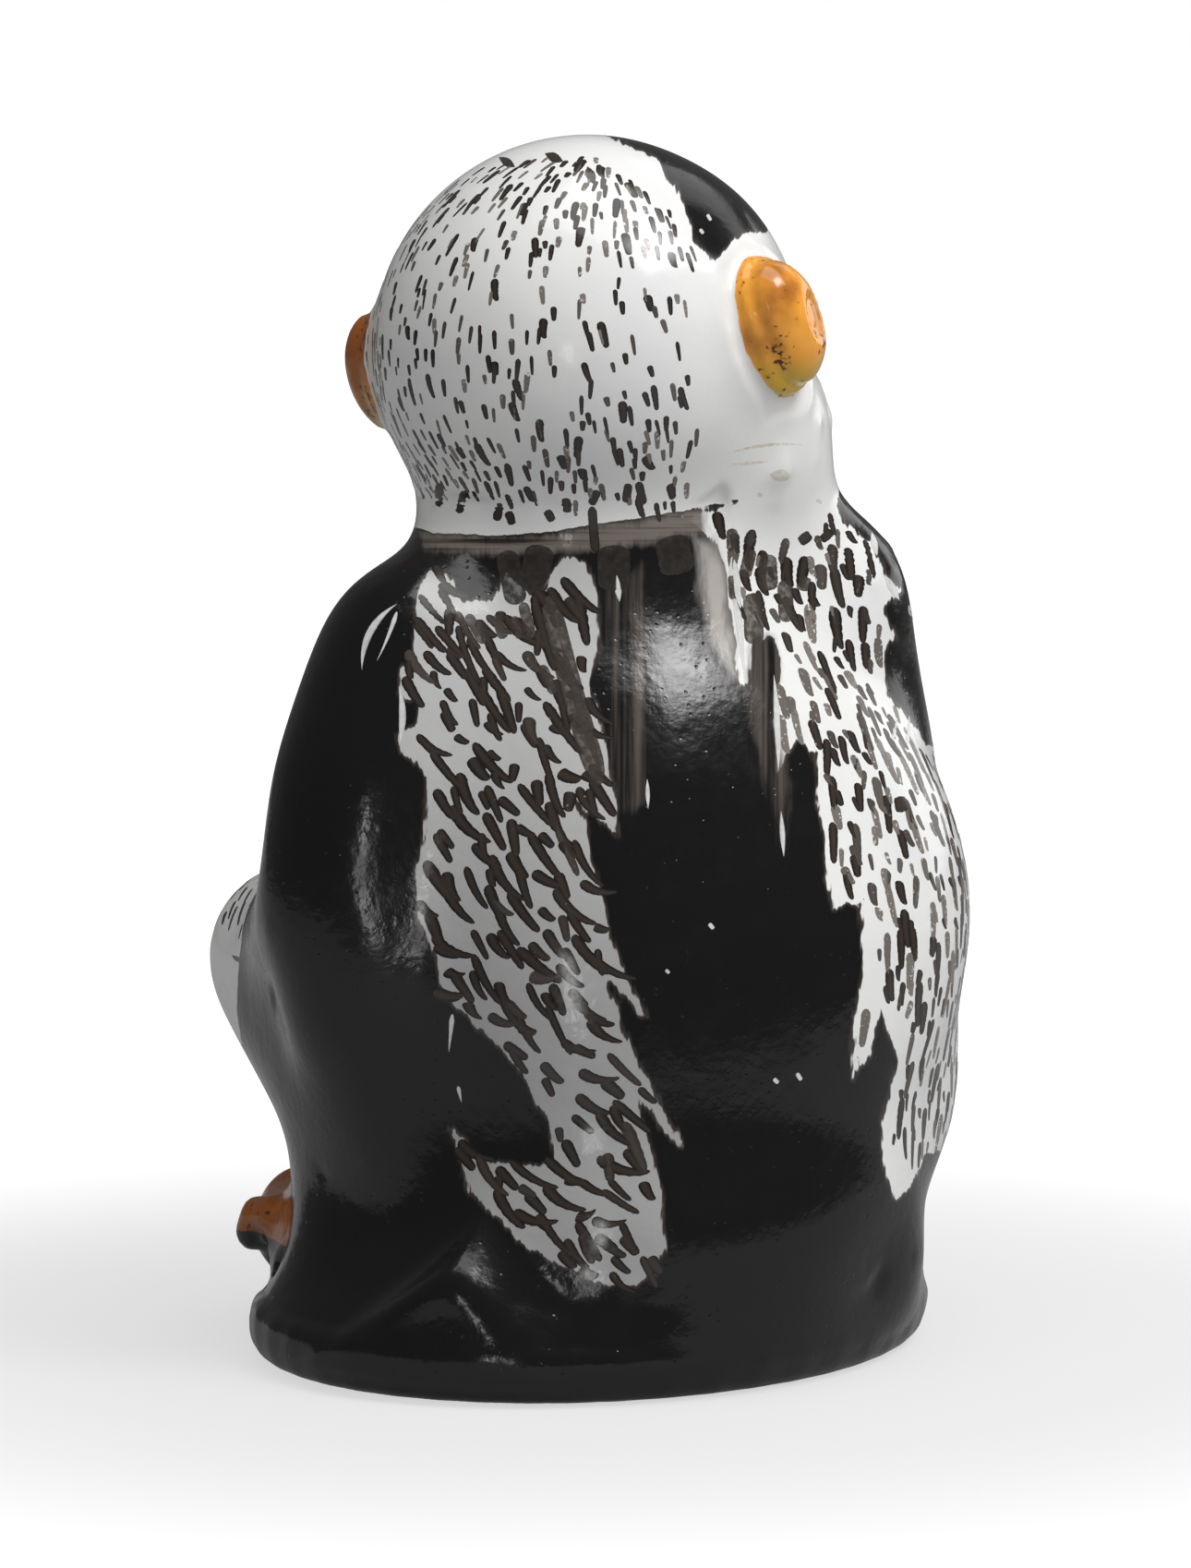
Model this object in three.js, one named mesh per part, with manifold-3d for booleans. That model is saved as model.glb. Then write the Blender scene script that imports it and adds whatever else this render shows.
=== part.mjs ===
// Seated monkey figurine in glazed porcelain: the castings that are luted together with slip before firing.
// Millimetres, +Z up. The trunk faces -Y and the monkey's left side is +X.
// Its head looks over its right shoulder.
import * as THREE from "three";
import { mergeVertices } from "three/addons/utils/BufferGeometryUtils.js";
import Module from "manifold-3d";

const wasm = await Module();
wasm.setup();

// Slip casting: the shell that a plaster mould leaves, and the slip between two castings luted together.
const WALL = 3.5;
const LUTE = 0.3;

// Plinth: an oval slab with a rounded edge, on an unglazed foot ring, with one vent for the kiln gases.
const PLINTH_HALF_LENGTH = 36;
const PLINTH_HALF_WIDTH = 30.5;
const PLINTH_TURN = 28;
const PLINTH_FORWARD = 0.5;
const PLINTH_HEIGHT = 6;
const PLINTH_EDGE = 2.4;
const FOOT_RING_WIDTH = 4;
const FOOT_RING_HEIGHT = 1.2;
const VENT_RADIUS = 4;

// Trunk: oval sections from the seat up to the neck.
// x and y are the section's middle, and side, back and front are how far it reaches from there.
const TRUNK = [
  { name: "seat", z: PLINTH_HEIGHT + LUTE, x: -0.5, y: 0, side: 24, back: 28.5, front: 23 },
  { name: "haunch", z: 20, x: -2.8, y: 0.5, side: 28.5, back: 29, front: 24 },
  { name: "belly", z: 38, x: -5, y: 2, side: 32, back: 26.5, front: 23 },
  { name: "waist", z: 52, x: -4.6, y: 1.5, side: 31, back: 23, front: 20.5 },
  { name: "chest", z: 63, x: -3.2, y: 0, side: 26, back: 20, front: 18 },
  { name: "shoulder", z: 72, x: -2.4, y: -2, side: 20.5, back: 16.5, front: 15 },
  { name: "neck", z: 80.5, x: -1, y: -3.5, side: 16.5, back: 15.5, front: 15 },
];

// Head: a round cranium with jowls, a muzzle and a brow, turned and tipped on the neck.
const HEAD_RADIUS = 20.7;
const HEAD_TURN = -48;
const HEAD_TIP = 8;
const HEAD_SEAT_RADIUS = 14.1;
const JOWL = { halfWidth: 9, halfDepth: 11.5, halfHeight: 10.5 };
const JOWL_APART = 24;
const JOWL_DROP = 9.5;
const JOWL_FORWARD = 5;
const MUZZLE = { halfWidth: 11.5, halfDepth: 10, halfHeight: 9 };
const MUZZLE_DROP = 7;
const MUZZLE_SINK = 6;
const BROW_RADIUS = 3.4;
const BROW_HALF_WIDTH = 7.5;
const BROW_RISE = 6.4;
const BROW_SINK = 0.5;
const BROW_DROOP = 1;
const EYE_RADIUS = 2.9;
const EYE_APART = 13;
const EYE_RISE = 1.2;
const EYE_SINK = 1;
const SOCKET_RADIUS = 4.6;
const SOCKET_FORWARD = 2.3;
const NOSTRIL_RADIUS = 1.1;
const NOSTRIL_APART = 4.6;
const NOSTRIL_RISE = 3;
const NOSTRIL_SINK = 0.6;
const MOUTH_RADIUS = 1;
const MOUTH_HALF_WIDTH = 9.2;
const MOUTH_DROP = 2.9;
const MOUTH_SMILE = 1.3;

// Ears: oval pads set against the sides of the cranium and dished in front.
const EAR = { halfThickness: 4.2, halfWidth: 5, halfHeight: 6.8 };
const EAR_DISH = { halfThickness: 4.2, halfWidth: 3.5, halfHeight: 4.8 };
const EAR_DISH_DEPTH = 1.4;
const EAR_DISH_FORWARD = 1.25;
const LEFT_EAR_STAND = -0.6;
const RIGHT_EAR_STAND = 0.6;
const EAR_RISE = 0.3;
const EAR_BACK = 2;
const EAR_LEAN = 30;

// Limbs: each joint's height, its turn around the trunk from the left flank (90 is the spine, -90 the belly),
// how far its middle stands off the trunk's skin, and the limb's radius there.
const LEFT_ARM_JOINTS = [
  { name: "shoulder", height: 67, turn: 6, stand: -2.6, radius: 10 },
  { name: "upper arm", height: 55, turn: 5, stand: -1.6, radius: 9.6 },
  { name: "elbow", height: 43.5, turn: 4, stand: -0.6, radius: 9 },
  { name: "forearm", height: 39, turn: -40, stand: 2, radius: 7.6 },
  { name: "wrist", height: 41, turn: -72, stand: 3, radius: 5.6 },
];
const RIGHT_ARM_JOINTS = [
  { name: "shoulder", height: 71, turn: 176, stand: -0.5, radius: 10 },
  { name: "upper arm", height: 60, turn: 196, stand: -4, radius: 9.6 },
  { name: "elbow", height: 50, turn: 215, stand: 3, radius: 9 },
  { name: "forearm", height: 48, turn: 232, stand: 6, radius: 7.6 },
  { name: "wrist", height: 47, turn: 243, stand: 8, radius: 5.6 },
];
const LEG_JOINTS = [
  { name: "hip", height: 24, turn: 8, stand: -8.5, radius: 11.5 },
  { name: "thigh", height: 29, turn: -25, stand: -4, radius: 11 },
  { name: "knee", height: 35.5, turn: -52, stand: 9.6, radius: 9.6 },
  { name: "shin", height: 22, turn: -28, stand: -3.5, radius: 8.6 },
  { name: "ankle", height: 12, turn: 2, stand: -2.8, radius: 8.8 },
];
const FOLD = 2;

// Hands: a flat palm with fingers and a thumb.
const PALM = { halfWidth: 6, halfLength: 6.5, halfThickness: 3.4 };
const FINGER_RADIUS = 1.7;
const FINGER_LENGTH = 9;
const FINGER_CURL = 1.5;
const FINGERS = 4;
const THUMB_ROOT = { across: 3.6, along: -2, rise: 0 };
const THUMB_KNUCKLE = { across: 7.5, along: 2, rise: -0.5 };
const THUMB_TIP = { across: 7, along: 6, rise: -1.5 };
const BELLY_HAND = { height: 41.5, turn: -88, stand: 2.2 };
const BELLY_HAND_AHEAD = new THREE.Vector3(-1, -0.15, 0.1);
const BELLY_HAND_BACK = new THREE.Vector3(0, -1, 0.1);
const KNEE_HAND_AHEAD = new THREE.Vector3(0.1, -1, -0.25);
const KNEE_HAND_BACK = new THREE.Vector3(0, -0.25, 1);
const KNEE_HAND_FORWARD = 1;
const KNEE_HAND_SINK = 1.4;

// Feet: a long sole from the heel to the ball, with toes in front and a great toe turned in.
const FOOT_LENGTH = 31;
const HEEL_RADIUS = 7.2;
const HEEL_RISE = 3.4;
const HEEL_TURN = 36;
const HEEL_STAND = -1.6;
const BALL_RADIUS = 6.4;
const SOLE_FLATTENING = 0.92;
const TOE_RADIUS = 2.7;
const TOE_LENGTH = 5.5;
const TOE_CURL = 2.4;
const TOE_RISE = 1.6;
const TOE_SPREAD = 8.4;
const TOES = 4;
const TOE_OUT = -0.5;
const GREAT_TOE_ROOT = { across: 3.2, along: 24, rise: 0 };
const GREAT_TOE_TIP = { across: 8.6, along: 31, rise: -0.6 };

// Digits: how a finger or toe narrows from its row's middle to its ends, and from root to tip.
const OUTER_DIGIT_SHORTER = 0.16;
const DIGIT_ROOT_GATHER = 0.8;
const DIGIT_TIP_FAN = 1.06;
const DIGIT_TIP_TAPER = 0.86;

const GLAZE_ROUGHNESS = 0.12;
const GLAZE_BLACK = 0x17161a;
const GLAZE_WHITE = 0xf1f0ec;
const GLAZE_ORANGE = 0xd9831c;

// Facets: how finely each kind of form is divided.
const MERGE_DISTANCE = 1e-4;
const FACET_TOLERANCE = 0.06;
const TRUNK_FACETS = { around: 40, along: 14 };
const HOLLOW_FACETS = { around: 20, along: 8 };
const LIMB_FACETS = { around: 14, along: 4, dome: 3 };
const SOLE_FACETS = { around: 14, along: 6, dome: 3 };
const DIGIT_FACETS = { around: 6, along: 3, dome: 2 };
const BROW_FACETS = { around: 8, along: 6, dome: 2 };
const MOUTH_FACETS = { around: 6, along: 8, dome: 1 };
const CRANIUM_FACETS = { around: 28, up: 16 };
const ROUND_FACETS = { around: 16, up: 10 };
const SMALL_ROUND_FACETS = { around: 12, up: 8 };
const NOSTRIL_FACETS = { around: 6, up: 4 };
const PLINTH_FACETS = 44;
const EDGE_FACETS = 2;
const BORE_FACETS = 20;

// Solids: a closed surface becomes a solid that can be joined and cut, and goes back to a surface.
function solidOf(geometry) {
  const bare = geometry.clone();
  bare.deleteAttribute("normal");
  bare.deleteAttribute("uv");
  const merged = mergeVertices(bare, MERGE_DISTANCE);
  const mesh = new wasm.Mesh({
    numProp: 3,
    vertProperties: new Float32Array(merged.attributes.position.array),
    triVerts: new Uint32Array(merged.index.array),
  });
  return new wasm.Manifold(mesh);
}

function join(geometries) {
  return geometries.map(solidOf).reduce((whole, piece) => whole.add(piece));
}

function cutBy(solid, geometries) {
  return geometries.map(solidOf).reduce((rest, tool) => rest.subtract(tool), solid);
}

// The largest body that a cut leaves, without its crumbs.
function mainBody(solid) {
  const largest = solid.decompose().reduce((most, body) => (body.volume() > most.volume() ? body : most));
  return largest.simplify(FACET_TOLERANCE);
}

function geometryOf(solid) {
  const { numProp, numVert, vertProperties, triVerts } = solid.getMesh();
  const position = new Float32Array(numVert * 3);
  for (let i = 0; i < numVert; i++) {
    position.set(vertProperties.subarray(i * numProp, i * numProp + 3), i * 3);
  }
  const geometry = new THREE.BufferGeometry();
  geometry.setAttribute("position", new THREE.BufferAttribute(position, 3));
  geometry.setIndex(new THREE.BufferAttribute(triVerts, 1));
  geometry.computeVertexNormals();
  return geometry;
}

// Lofts: rings of points, anticlockwise seen from the last ring, skinned and closed at both ends.
function skin(rings) {
  const count = rings[0].length;
  const points = rings.flat();
  const index = [];
  for (let i = 0; i + 1 < rings.length; i++) {
    for (let j = 0; j < count; j++) {
      const a = i * count + j;
      const b = i * count + ((j + 1) % count);
      index.push(a, b, b + count, a, b + count, a + count);
    }
  }
  const ends = [
    { ring: rings[0], first: 0, up: false },
    { ring: rings.at(-1), first: (rings.length - 1) * count, up: true },
  ];
  for (const { ring, first, up } of ends) {
    const middle = ring.reduce((sum, p) => sum.add(p), new THREE.Vector3()).divideScalar(count);
    const centre = points.push(middle) - 1;
    for (let j = 0; j < count; j++) {
      const a = first + j;
      const b = first + ((j + 1) % count);
      index.push(centre, up ? a : b, up ? b : a);
    }
  }
  const geometry = new THREE.BufferGeometry().setFromPoints(points);
  geometry.setIndex(index);
  return geometry;
}

const vec = (x, y, z) => new THREE.Vector3(x, y, z);
const radians = THREE.MathUtils.degToRad;
const QUARTER = Math.PI / 2;
const FULL = 2 * Math.PI;

// A value that runs smoothly through a list of values, asked for at t from 0 to 1.
function smoothly(values) {
  const curve = new THREE.SplineCurve(values.map((value, i) => new THREE.Vector2(i, value)));
  return (t) => curve.getPoint(t).y;
}

// A limb: round sections strung along a smooth path, with a dome at each end.
// The sections start from a direction that no limb runs along.
const SECTION_START = vec(0.31, 0.17, 0.93);

function limb(points, radii, grow, { around, along, dome }) {
  const path = new THREE.CatmullRomCurve3(points, false, "centripetal");
  const radiusAt = smoothly(radii);
  const domeTurn = (i) => (i * QUARTER) / (dome + 1);
  const stations = [];
  for (let i = 1; i <= dome; i++) stations.push({ t: 0, lean: domeTurn(i) - QUARTER });
  for (let i = 0; i <= along; i++) stations.push({ t: i / along, lean: 0 });
  for (let i = 1; i <= dome; i++) stations.push({ t: 1, lean: domeTurn(i) });
  const side = SECTION_START.clone();
  const rings = stations.map(({ t, lean }) => {
    const ahead = path.getTangent(t);
    side.addScaledVector(ahead, -side.dot(ahead)).normalize();
    const across = ahead.clone().cross(side);
    const radius = radiusAt(t) + grow;
    const middle = path.getPoint(t).addScaledVector(ahead, radius * Math.sin(lean));
    return Array.from({ length: around }, (_, j) => {
      const turn = (j / around) * FULL;
      const reach = radius * Math.cos(lean);
      return middle
        .clone()
        .addScaledVector(side, reach * Math.cos(turn))
        .addScaledVector(across, reach * Math.sin(turn));
    });
  });
  return skin(rings);
}

function ellipsoid(halfX, halfY, halfZ, grow, { around, up }) {
  return new THREE.SphereGeometry(1, around, up)
    .rotateX(QUARTER)
    .scale(halfX + grow, halfY + grow, halfZ + grow);
}

function ball(radius, centre, facets) {
  return ellipsoid(radius, radius, radius, 0, facets).translate(centre.x, centre.y, centre.z);
}

// Trunk sections at any height between the seat and the neck.
const NECK = TRUNK.at(-1);
const SECTION_SIZES = ["z", "x", "y", "side", "back", "front"];
const trunkCurves = Object.fromEntries(
  SECTION_SIZES.map((size) => [size, smoothly(TRUNK.map((section) => section[size]))]),
);

function trunkSection(t) {
  return Object.fromEntries(Object.entries(trunkCurves).map(([key, at]) => [key, at(t)]));
}

const HALVINGS = 40;

function trunkSectionAtHeight(z) {
  let low = 0;
  let high = 1;
  for (let i = 0; i < HALVINGS; i++) {
    const middle = (low + high) / 2;
    if (trunkCurves.z(middle) < z) low = middle;
    else high = middle;
  }
  return trunkSection(low);
}

// A place beside the trunk, by its height, its turn around the trunk and how far it stands off the skin.
function onTrunk({ height, turn, stand }) {
  const section = trunkSectionAtHeight(height);
  const angle = radians(turn);
  const depth = Math.sin(angle) > 0 ? section.back : section.front;
  return vec(
    section.x + (section.side + stand) * Math.cos(angle),
    section.y + (depth + stand) * Math.sin(angle),
    height,
  );
}

// The trunk's loft, grown or shrunk, and run past the seat and the neck.
function trunkLoft(grow, past, { around, along }) {
  const stations = Array.from({ length: along + 1 }, (_, i) => trunkSection(i / along));
  if (past > 0) {
    stations.unshift({ ...stations[0], z: stations[0].z - past });
    stations.push({ ...stations.at(-1), z: stations.at(-1).z + past });
  }
  return skin(
    stations.map(({ z, x, y, side, back, front }) =>
      Array.from({ length: around }, (_, j) => {
        const angle = (j / around) * FULL;
        const depth = Math.sin(angle) > 0 ? back : front;
        return vec(x + (side + grow) * Math.cos(angle), y + (depth + grow) * Math.sin(angle), z);
      }),
    ),
  );
}

const trunkEnvelope = trunkLoft(LUTE, LUTE, TRUNK_FACETS);

function makeTrunk() {
  return cutBy(solidOf(trunkLoft(0, 0, TRUNK_FACETS)), [trunkLoft(-WALL, WALL, HOLLOW_FACETS)]);
}

// Plinth: half an outline revolved and drawn out to an oval, hollowed below inside its foot ring.
const ringOuter = PLINTH_HALF_LENGTH - PLINTH_EDGE;
const ringInner = ringOuter - FOOT_RING_WIDTH;
const plinthOutline = new THREE.Path()
  .moveTo(0, FOOT_RING_HEIGHT)
  .lineTo(ringInner, FOOT_RING_HEIGHT)
  .lineTo(ringInner, 0)
  .lineTo(ringOuter, 0)
  .absarc(ringOuter, PLINTH_EDGE, PLINTH_EDGE, -QUARTER, 0)
  .absarc(ringOuter, PLINTH_HEIGHT - PLINTH_EDGE, PLINTH_EDGE, 0, QUARTER)
  .lineTo(0, PLINTH_HEIGHT);

function makePlinth() {
  const slab = new THREE.LatheGeometry(plinthOutline.getPoints(EDGE_FACETS), PLINTH_FACETS)
    .rotateX(QUARTER)
    .scale(1, PLINTH_HALF_WIDTH / PLINTH_HALF_LENGTH, 1)
    .rotateZ(radians(PLINTH_TURN))
    .translate(0, -PLINTH_FORWARD, 0);
  const vent = new THREE.CylinderGeometry(VENT_RADIUS, VENT_RADIUS, 3 * PLINTH_HEIGHT, BORE_FACETS);
  vent.rotateX(QUARTER);
  return cutBy(solidOf(slab), [vent]);
}

// Head, in its own frame: it faces -Y, with its middle at the cranium's centre.
const headRise = Math.sqrt(HEAD_RADIUS ** 2 - HEAD_SEAT_RADIUS ** 2);
const headGroup = new THREE.Group();
headGroup.position.set(NECK.x, NECK.y, NECK.z + headRise);
headGroup.rotation.set(0, radians(HEAD_TIP), radians(HEAD_TURN), "ZYX");
headGroup.updateMatrix();
const intoHead = headGroup.matrix.clone().invert();
const muzzleForward = MUZZLE_SINK - HEAD_RADIUS;
const SIDES = [-1, 1];
const ACROSS_FACE = [-1, -0.5, 0, 0.5, 1];

// How far forward the cranium's skin lies at a place on the face.
function faceDepth(x, z, sink) {
  return -Math.sqrt((HEAD_RADIUS - sink) ** 2 - x ** 2 - z ** 2);
}

function headForms(grow) {
  const cranium = ellipsoid(HEAD_RADIUS, HEAD_RADIUS, HEAD_RADIUS, grow, CRANIUM_FACETS);
  const muzzle = ellipsoid(MUZZLE.halfWidth, MUZZLE.halfDepth, MUZZLE.halfHeight, grow, ROUND_FACETS);
  muzzle.translate(0, muzzleForward, -MUZZLE_DROP);
  const jowls = SIDES.map((side) => {
    const jowl = ellipsoid(JOWL.halfWidth, JOWL.halfDepth, JOWL.halfHeight, grow, SMALL_ROUND_FACETS);
    return jowl.translate((side * JOWL_APART) / 2, -JOWL_FORWARD, -JOWL_DROP);
  });
  const browPoints = ACROSS_FACE.map((share) => {
    const x = share * BROW_HALF_WIDTH;
    return vec(x, faceDepth(x, BROW_RISE, BROW_SINK), BROW_RISE - BROW_DROOP * Math.abs(share));
  });
  const brow = limb(browPoints, browPoints.map(() => BROW_RADIUS), grow, BROW_FACETS);
  return [cranium, muzzle, ...jowls, brow];
}

function mouthGroove() {
  const lips = ACROSS_FACE.map((share) => {
    const x = share * MOUTH_HALF_WIDTH;
    const z = MOUTH_SMILE * share ** 2 - MOUTH_DROP;
    const reach = 1 - (x / MUZZLE.halfWidth) ** 2 - (z / MUZZLE.halfHeight) ** 2;
    return vec(x, muzzleForward - MUZZLE.halfDepth * Math.sqrt(reach), z - MUZZLE_DROP);
  });
  return limb(lips, lips.map(() => MOUTH_RADIUS), 0, MOUTH_FACETS);
}

function nostril(side) {
  const tip = muzzleForward - MUZZLE.halfDepth + NOSTRIL_SINK;
  return ellipsoid(NOSTRIL_RADIUS, 2 * NOSTRIL_RADIUS, NOSTRIL_RADIUS, 0, NOSTRIL_FACETS)
    .translate((side * NOSTRIL_APART) / 2, tip, NOSTRIL_RISE - MUZZLE_DROP);
}

function makeHead() {
  const eyeDepth = faceDepth(EYE_APART / 2, EYE_RISE, EYE_SINK);
  const eyes = SIDES.map((side) => vec((side * EYE_APART) / 2, eyeDepth, EYE_RISE));
  const sockets = eyes.map((eye) =>
    ball(SOCKET_RADIUS, vec(eye.x, eye.y - SOCKET_FORWARD, eye.z), SMALL_ROUND_FACETS),
  );
  const eyeballs = eyes.map((eye) => ball(EYE_RADIUS, eye, SMALL_ROUND_FACETS));
  const hollow = ball(HEAD_RADIUS - WALL, vec(0, 0, 0), ROUND_FACETS);
  const throatRadius = NECK.front - WALL;
  const throat = new THREE.CylinderGeometry(throatRadius, throatRadius, 2 * HEAD_RADIUS, BORE_FACETS)
    .rotateX(QUARTER)
    .translate(NECK.x, NECK.y, NECK.z)
    .applyMatrix4(intoHead);
  const face = cutBy(join(headForms(0)), [...sockets, ...SIDES.map(nostril), mouthGroove()]);
  return cutBy(face.add(join(eyeballs)), [trunkEnvelope.clone().applyMatrix4(intoHead), hollow, throat]);
}

function makeEar(side, stand) {
  const pad = ellipsoid(EAR.halfThickness, EAR.halfWidth, EAR.halfHeight, 0, ROUND_FACETS);
  const dish = ellipsoid(EAR_DISH.halfThickness, EAR_DISH.halfWidth, EAR_DISH.halfHeight, 0, ROUND_FACETS);
  const dishOut = EAR.halfThickness + EAR_DISH.halfThickness - EAR_DISH_DEPTH;
  dish.translate(side * dishOut, -EAR_DISH_FORWARD, 0);
  for (const form of [pad, dish]) {
    form.rotateX(-radians(EAR_LEAN));
    form.translate(side * (HEAD_RADIUS + stand), EAR_BACK, EAR_RISE);
  }
  return cutBy(solidOf(pad), [...headForms(LUTE), dish]);
}

// Arms run from the shoulder down the flank to the elbow, and forward to the wrist.
// Legs are folded: the thigh runs forward from the hip, and the shin slopes back from the raised knee.
const placed = (joints) => joints.map((joint) => ({ at: onTrunk(joint), radius: joint.radius }));
const mirrored = (joints) => joints.map((joint) => ({ ...joint, turn: 180 - joint.turn }));
const LEFT_ARM = placed(LEFT_ARM_JOINTS);
const RIGHT_ARM = placed(RIGHT_ARM_JOINTS);
const LEFT_LEG = placed(LEG_JOINTS);
const RIGHT_LEG = placed(mirrored(LEG_JOINTS));

// A folded limb is two lengths that meet at the joint in the middle of its list.
function foldedLimb(joints, grow) {
  return [joints.slice(0, FOLD + 1), joints.slice(FOLD)].map((length) =>
    limb(length.map(({ at }) => at), length.map(({ radius }) => radius), grow, LIMB_FACETS),
  );
}

const legEnvelopes = [LEFT_LEG, RIGHT_LEG].flatMap((joints) => foldedLimb(joints, LUTE));
const armEnvelopes = [LEFT_ARM, RIGHT_ARM].flatMap((joints) => foldedLimb(joints, LUTE));
const headEnvelope = headForms(LUTE).map((form) => form.applyMatrix4(headGroup.matrix));
const slabDepth = 3 * PLINTH_HEIGHT;
const plinthEnvelope = new THREE.BoxGeometry(3 * PLINTH_HALF_LENGTH, 3 * PLINTH_HALF_LENGTH, slabDepth)
  .translate(0, 0, PLINTH_HEIGHT + LUTE - slabDepth / 2);

function makeArm(joints) {
  return cutBy(join(foldedLimb(joints, 0)), [trunkEnvelope, ...legEnvelopes, ...headEnvelope]);
}

// A hand or foot frame: its digits point along one direction and its back faces another.
function limbEnd(position, ahead, back) {
  const y = ahead.clone().normalize();
  const x = y.clone().cross(back).normalize();
  const group = new THREE.Group();
  group.position.copy(position);
  group.quaternion.setFromRotationMatrix(new THREE.Matrix4().makeBasis(x, y, x.clone().cross(y)));
  group.updateMatrix();
  return group;
}

// Digits fan out from the front edge of a palm or sole, curling down at their tips.
function digits({ count, radius, length, spread, from, rise, curl }) {
  return Array.from({ length: count }, (_, i) => {
    const share = (2 * i) / (count - 1) - 1;
    const x = (share * spread) / 2;
    const reach = length * (1 - OUTER_DIGIT_SHORTER * share ** 2);
    const points = [
      vec(x * DIGIT_ROOT_GATHER, from - radius, 0),
      vec(x, from + reach / 2, rise),
      vec(x * DIGIT_TIP_FAN, from + reach, rise - curl),
    ];
    return limb(points, [radius, radius, radius * DIGIT_TIP_TAPER], 0, DIGIT_FACETS);
  });
}

function handForm() {
  const palm = ellipsoid(PALM.halfWidth, PALM.halfLength, PALM.halfThickness, 0, SMALL_ROUND_FACETS);
  const thumbPoints = [THUMB_ROOT, THUMB_KNUCKLE, THUMB_TIP].map((p) => vec(-p.across, p.along, p.rise));
  const thumb = limb(thumbPoints, thumbPoints.map(() => FINGER_RADIUS), 0, DIGIT_FACETS);
  const fingers = digits({
    count: FINGERS,
    radius: FINGER_RADIUS,
    length: FINGER_LENGTH,
    spread: 2 * (PALM.halfWidth - FINGER_RADIUS),
    from: PALM.halfLength / 2,
    rise: 0,
    curl: FINGER_CURL,
  });
  return [palm, thumb, ...fingers];
}

// A hand is cut to sit on whatever it touches.
function makeHand(group) {
  const intoHand = group.matrix.clone().invert();
  const neighbours = [trunkEnvelope, ...legEnvelopes, ...armEnvelopes];
  return cutBy(join(handForm()), neighbours.map((form) => form.clone().applyMatrix4(intoHand)));
}

const rightKnee = RIGHT_LEG[FOLD];
const kneeHandRise = rightKnee.radius + PALM.halfThickness - KNEE_HAND_SINK;
const leftHandGroup = limbEnd(onTrunk(BELLY_HAND), BELLY_HAND_AHEAD, BELLY_HAND_BACK);
const rightHandGroup = limbEnd(
  rightKnee.at.clone().add(vec(0, -KNEE_HAND_FORWARD, kneeHandRise)),
  KNEE_HAND_AHEAD,
  KNEE_HAND_BACK,
);

function footForm(side, grow) {
  const solePoints = [0, FOOT_LENGTH / 2, FOOT_LENGTH].map((y) => vec(0, y, 0));
  const soleRadii = [HEEL_RADIUS, (HEEL_RADIUS + BALL_RADIUS) / 2, BALL_RADIUS];
  const sole = limb(solePoints, soleRadii, grow, SOLE_FACETS).scale(1, 1, SOLE_FLATTENING);
  const toes = digits({
    count: TOES,
    radius: TOE_RADIUS + grow,
    length: TOE_LENGTH,
    spread: TOE_SPREAD,
    from: FOOT_LENGTH + BALL_RADIUS / 2,
    rise: TOE_RISE,
    curl: TOE_CURL,
  });
  const greatToePoints = [GREAT_TOE_ROOT, GREAT_TOE_TIP].map((p) => vec(side * p.across, p.along, p.rise));
  const greatToe = limb(greatToePoints, greatToePoints.map(() => TOE_RADIUS), grow, DIGIT_FACETS);
  return [sole, ...toes, greatToe];
}

function footGroup(side, leg) {
  const turn = side > 0 ? HEEL_TURN : 180 - HEEL_TURN;
  const heel = onTrunk({ height: PLINTH_HEIGHT + LUTE + HEEL_RISE, turn, stand: HEEL_STAND });
  const ankle = leg.at(-1).at;
  const toeAim = vec(ankle.x + side * TOE_OUT, heel.y - FOOT_LENGTH, heel.z);
  return limbEnd(heel, toeAim.sub(heel), vec(0, 0, 1));
}

function makeFoot(side, group) {
  const intoFoot = group.matrix.clone().invert();
  const neighbours = [trunkEnvelope, plinthEnvelope];
  return cutBy(join(footForm(side, 0)), neighbours.map((form) => form.clone().applyMatrix4(intoFoot)));
}

function makeLeg(joints, side, group) {
  const foot = footForm(side, LUTE).map((form) => form.applyMatrix4(group.matrix));
  return cutBy(join(foldedLimb(joints, 0)), [trunkEnvelope, plinthEnvelope, ...foot]);
}

// The figure: each casting is a mesh of its own, in the group that carries it.
const figure = new THREE.Group();

function addCasting(group, name, solid, color) {
  const material = new THREE.MeshStandardMaterial({ color, roughness: GLAZE_ROUGHNESS, metalness: 0 });
  const mesh = new THREE.Mesh(geometryOf(mainBody(solid)), material);
  mesh.name = name;
  group.add(mesh);
}

const leftFootGroup = footGroup(1, LEFT_LEG);
const rightFootGroup = footGroup(-1, RIGHT_LEG);
figure.add(headGroup, leftHandGroup, rightHandGroup, leftFootGroup, rightFootGroup);
addCasting(figure, "plinth", makePlinth(), GLAZE_BLACK);
addCasting(figure, "trunk_shell", makeTrunk(), GLAZE_BLACK);
addCasting(headGroup, "head_shell", makeHead(), GLAZE_WHITE);
addCasting(headGroup, "left_ear", makeEar(1, LEFT_EAR_STAND), GLAZE_ORANGE);
addCasting(headGroup, "right_ear", makeEar(-1, RIGHT_EAR_STAND), GLAZE_ORANGE);
addCasting(figure, "left_arm", makeArm(LEFT_ARM), GLAZE_BLACK);
addCasting(figure, "right_arm", makeArm(RIGHT_ARM), GLAZE_BLACK);
addCasting(figure, "left_leg", makeLeg(LEFT_LEG, 1, leftFootGroup), GLAZE_BLACK);
addCasting(figure, "right_leg", makeLeg(RIGHT_LEG, -1, rightFootGroup), GLAZE_BLACK);
addCasting(leftHandGroup, "left_hand", makeHand(leftHandGroup), GLAZE_ORANGE);
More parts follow.
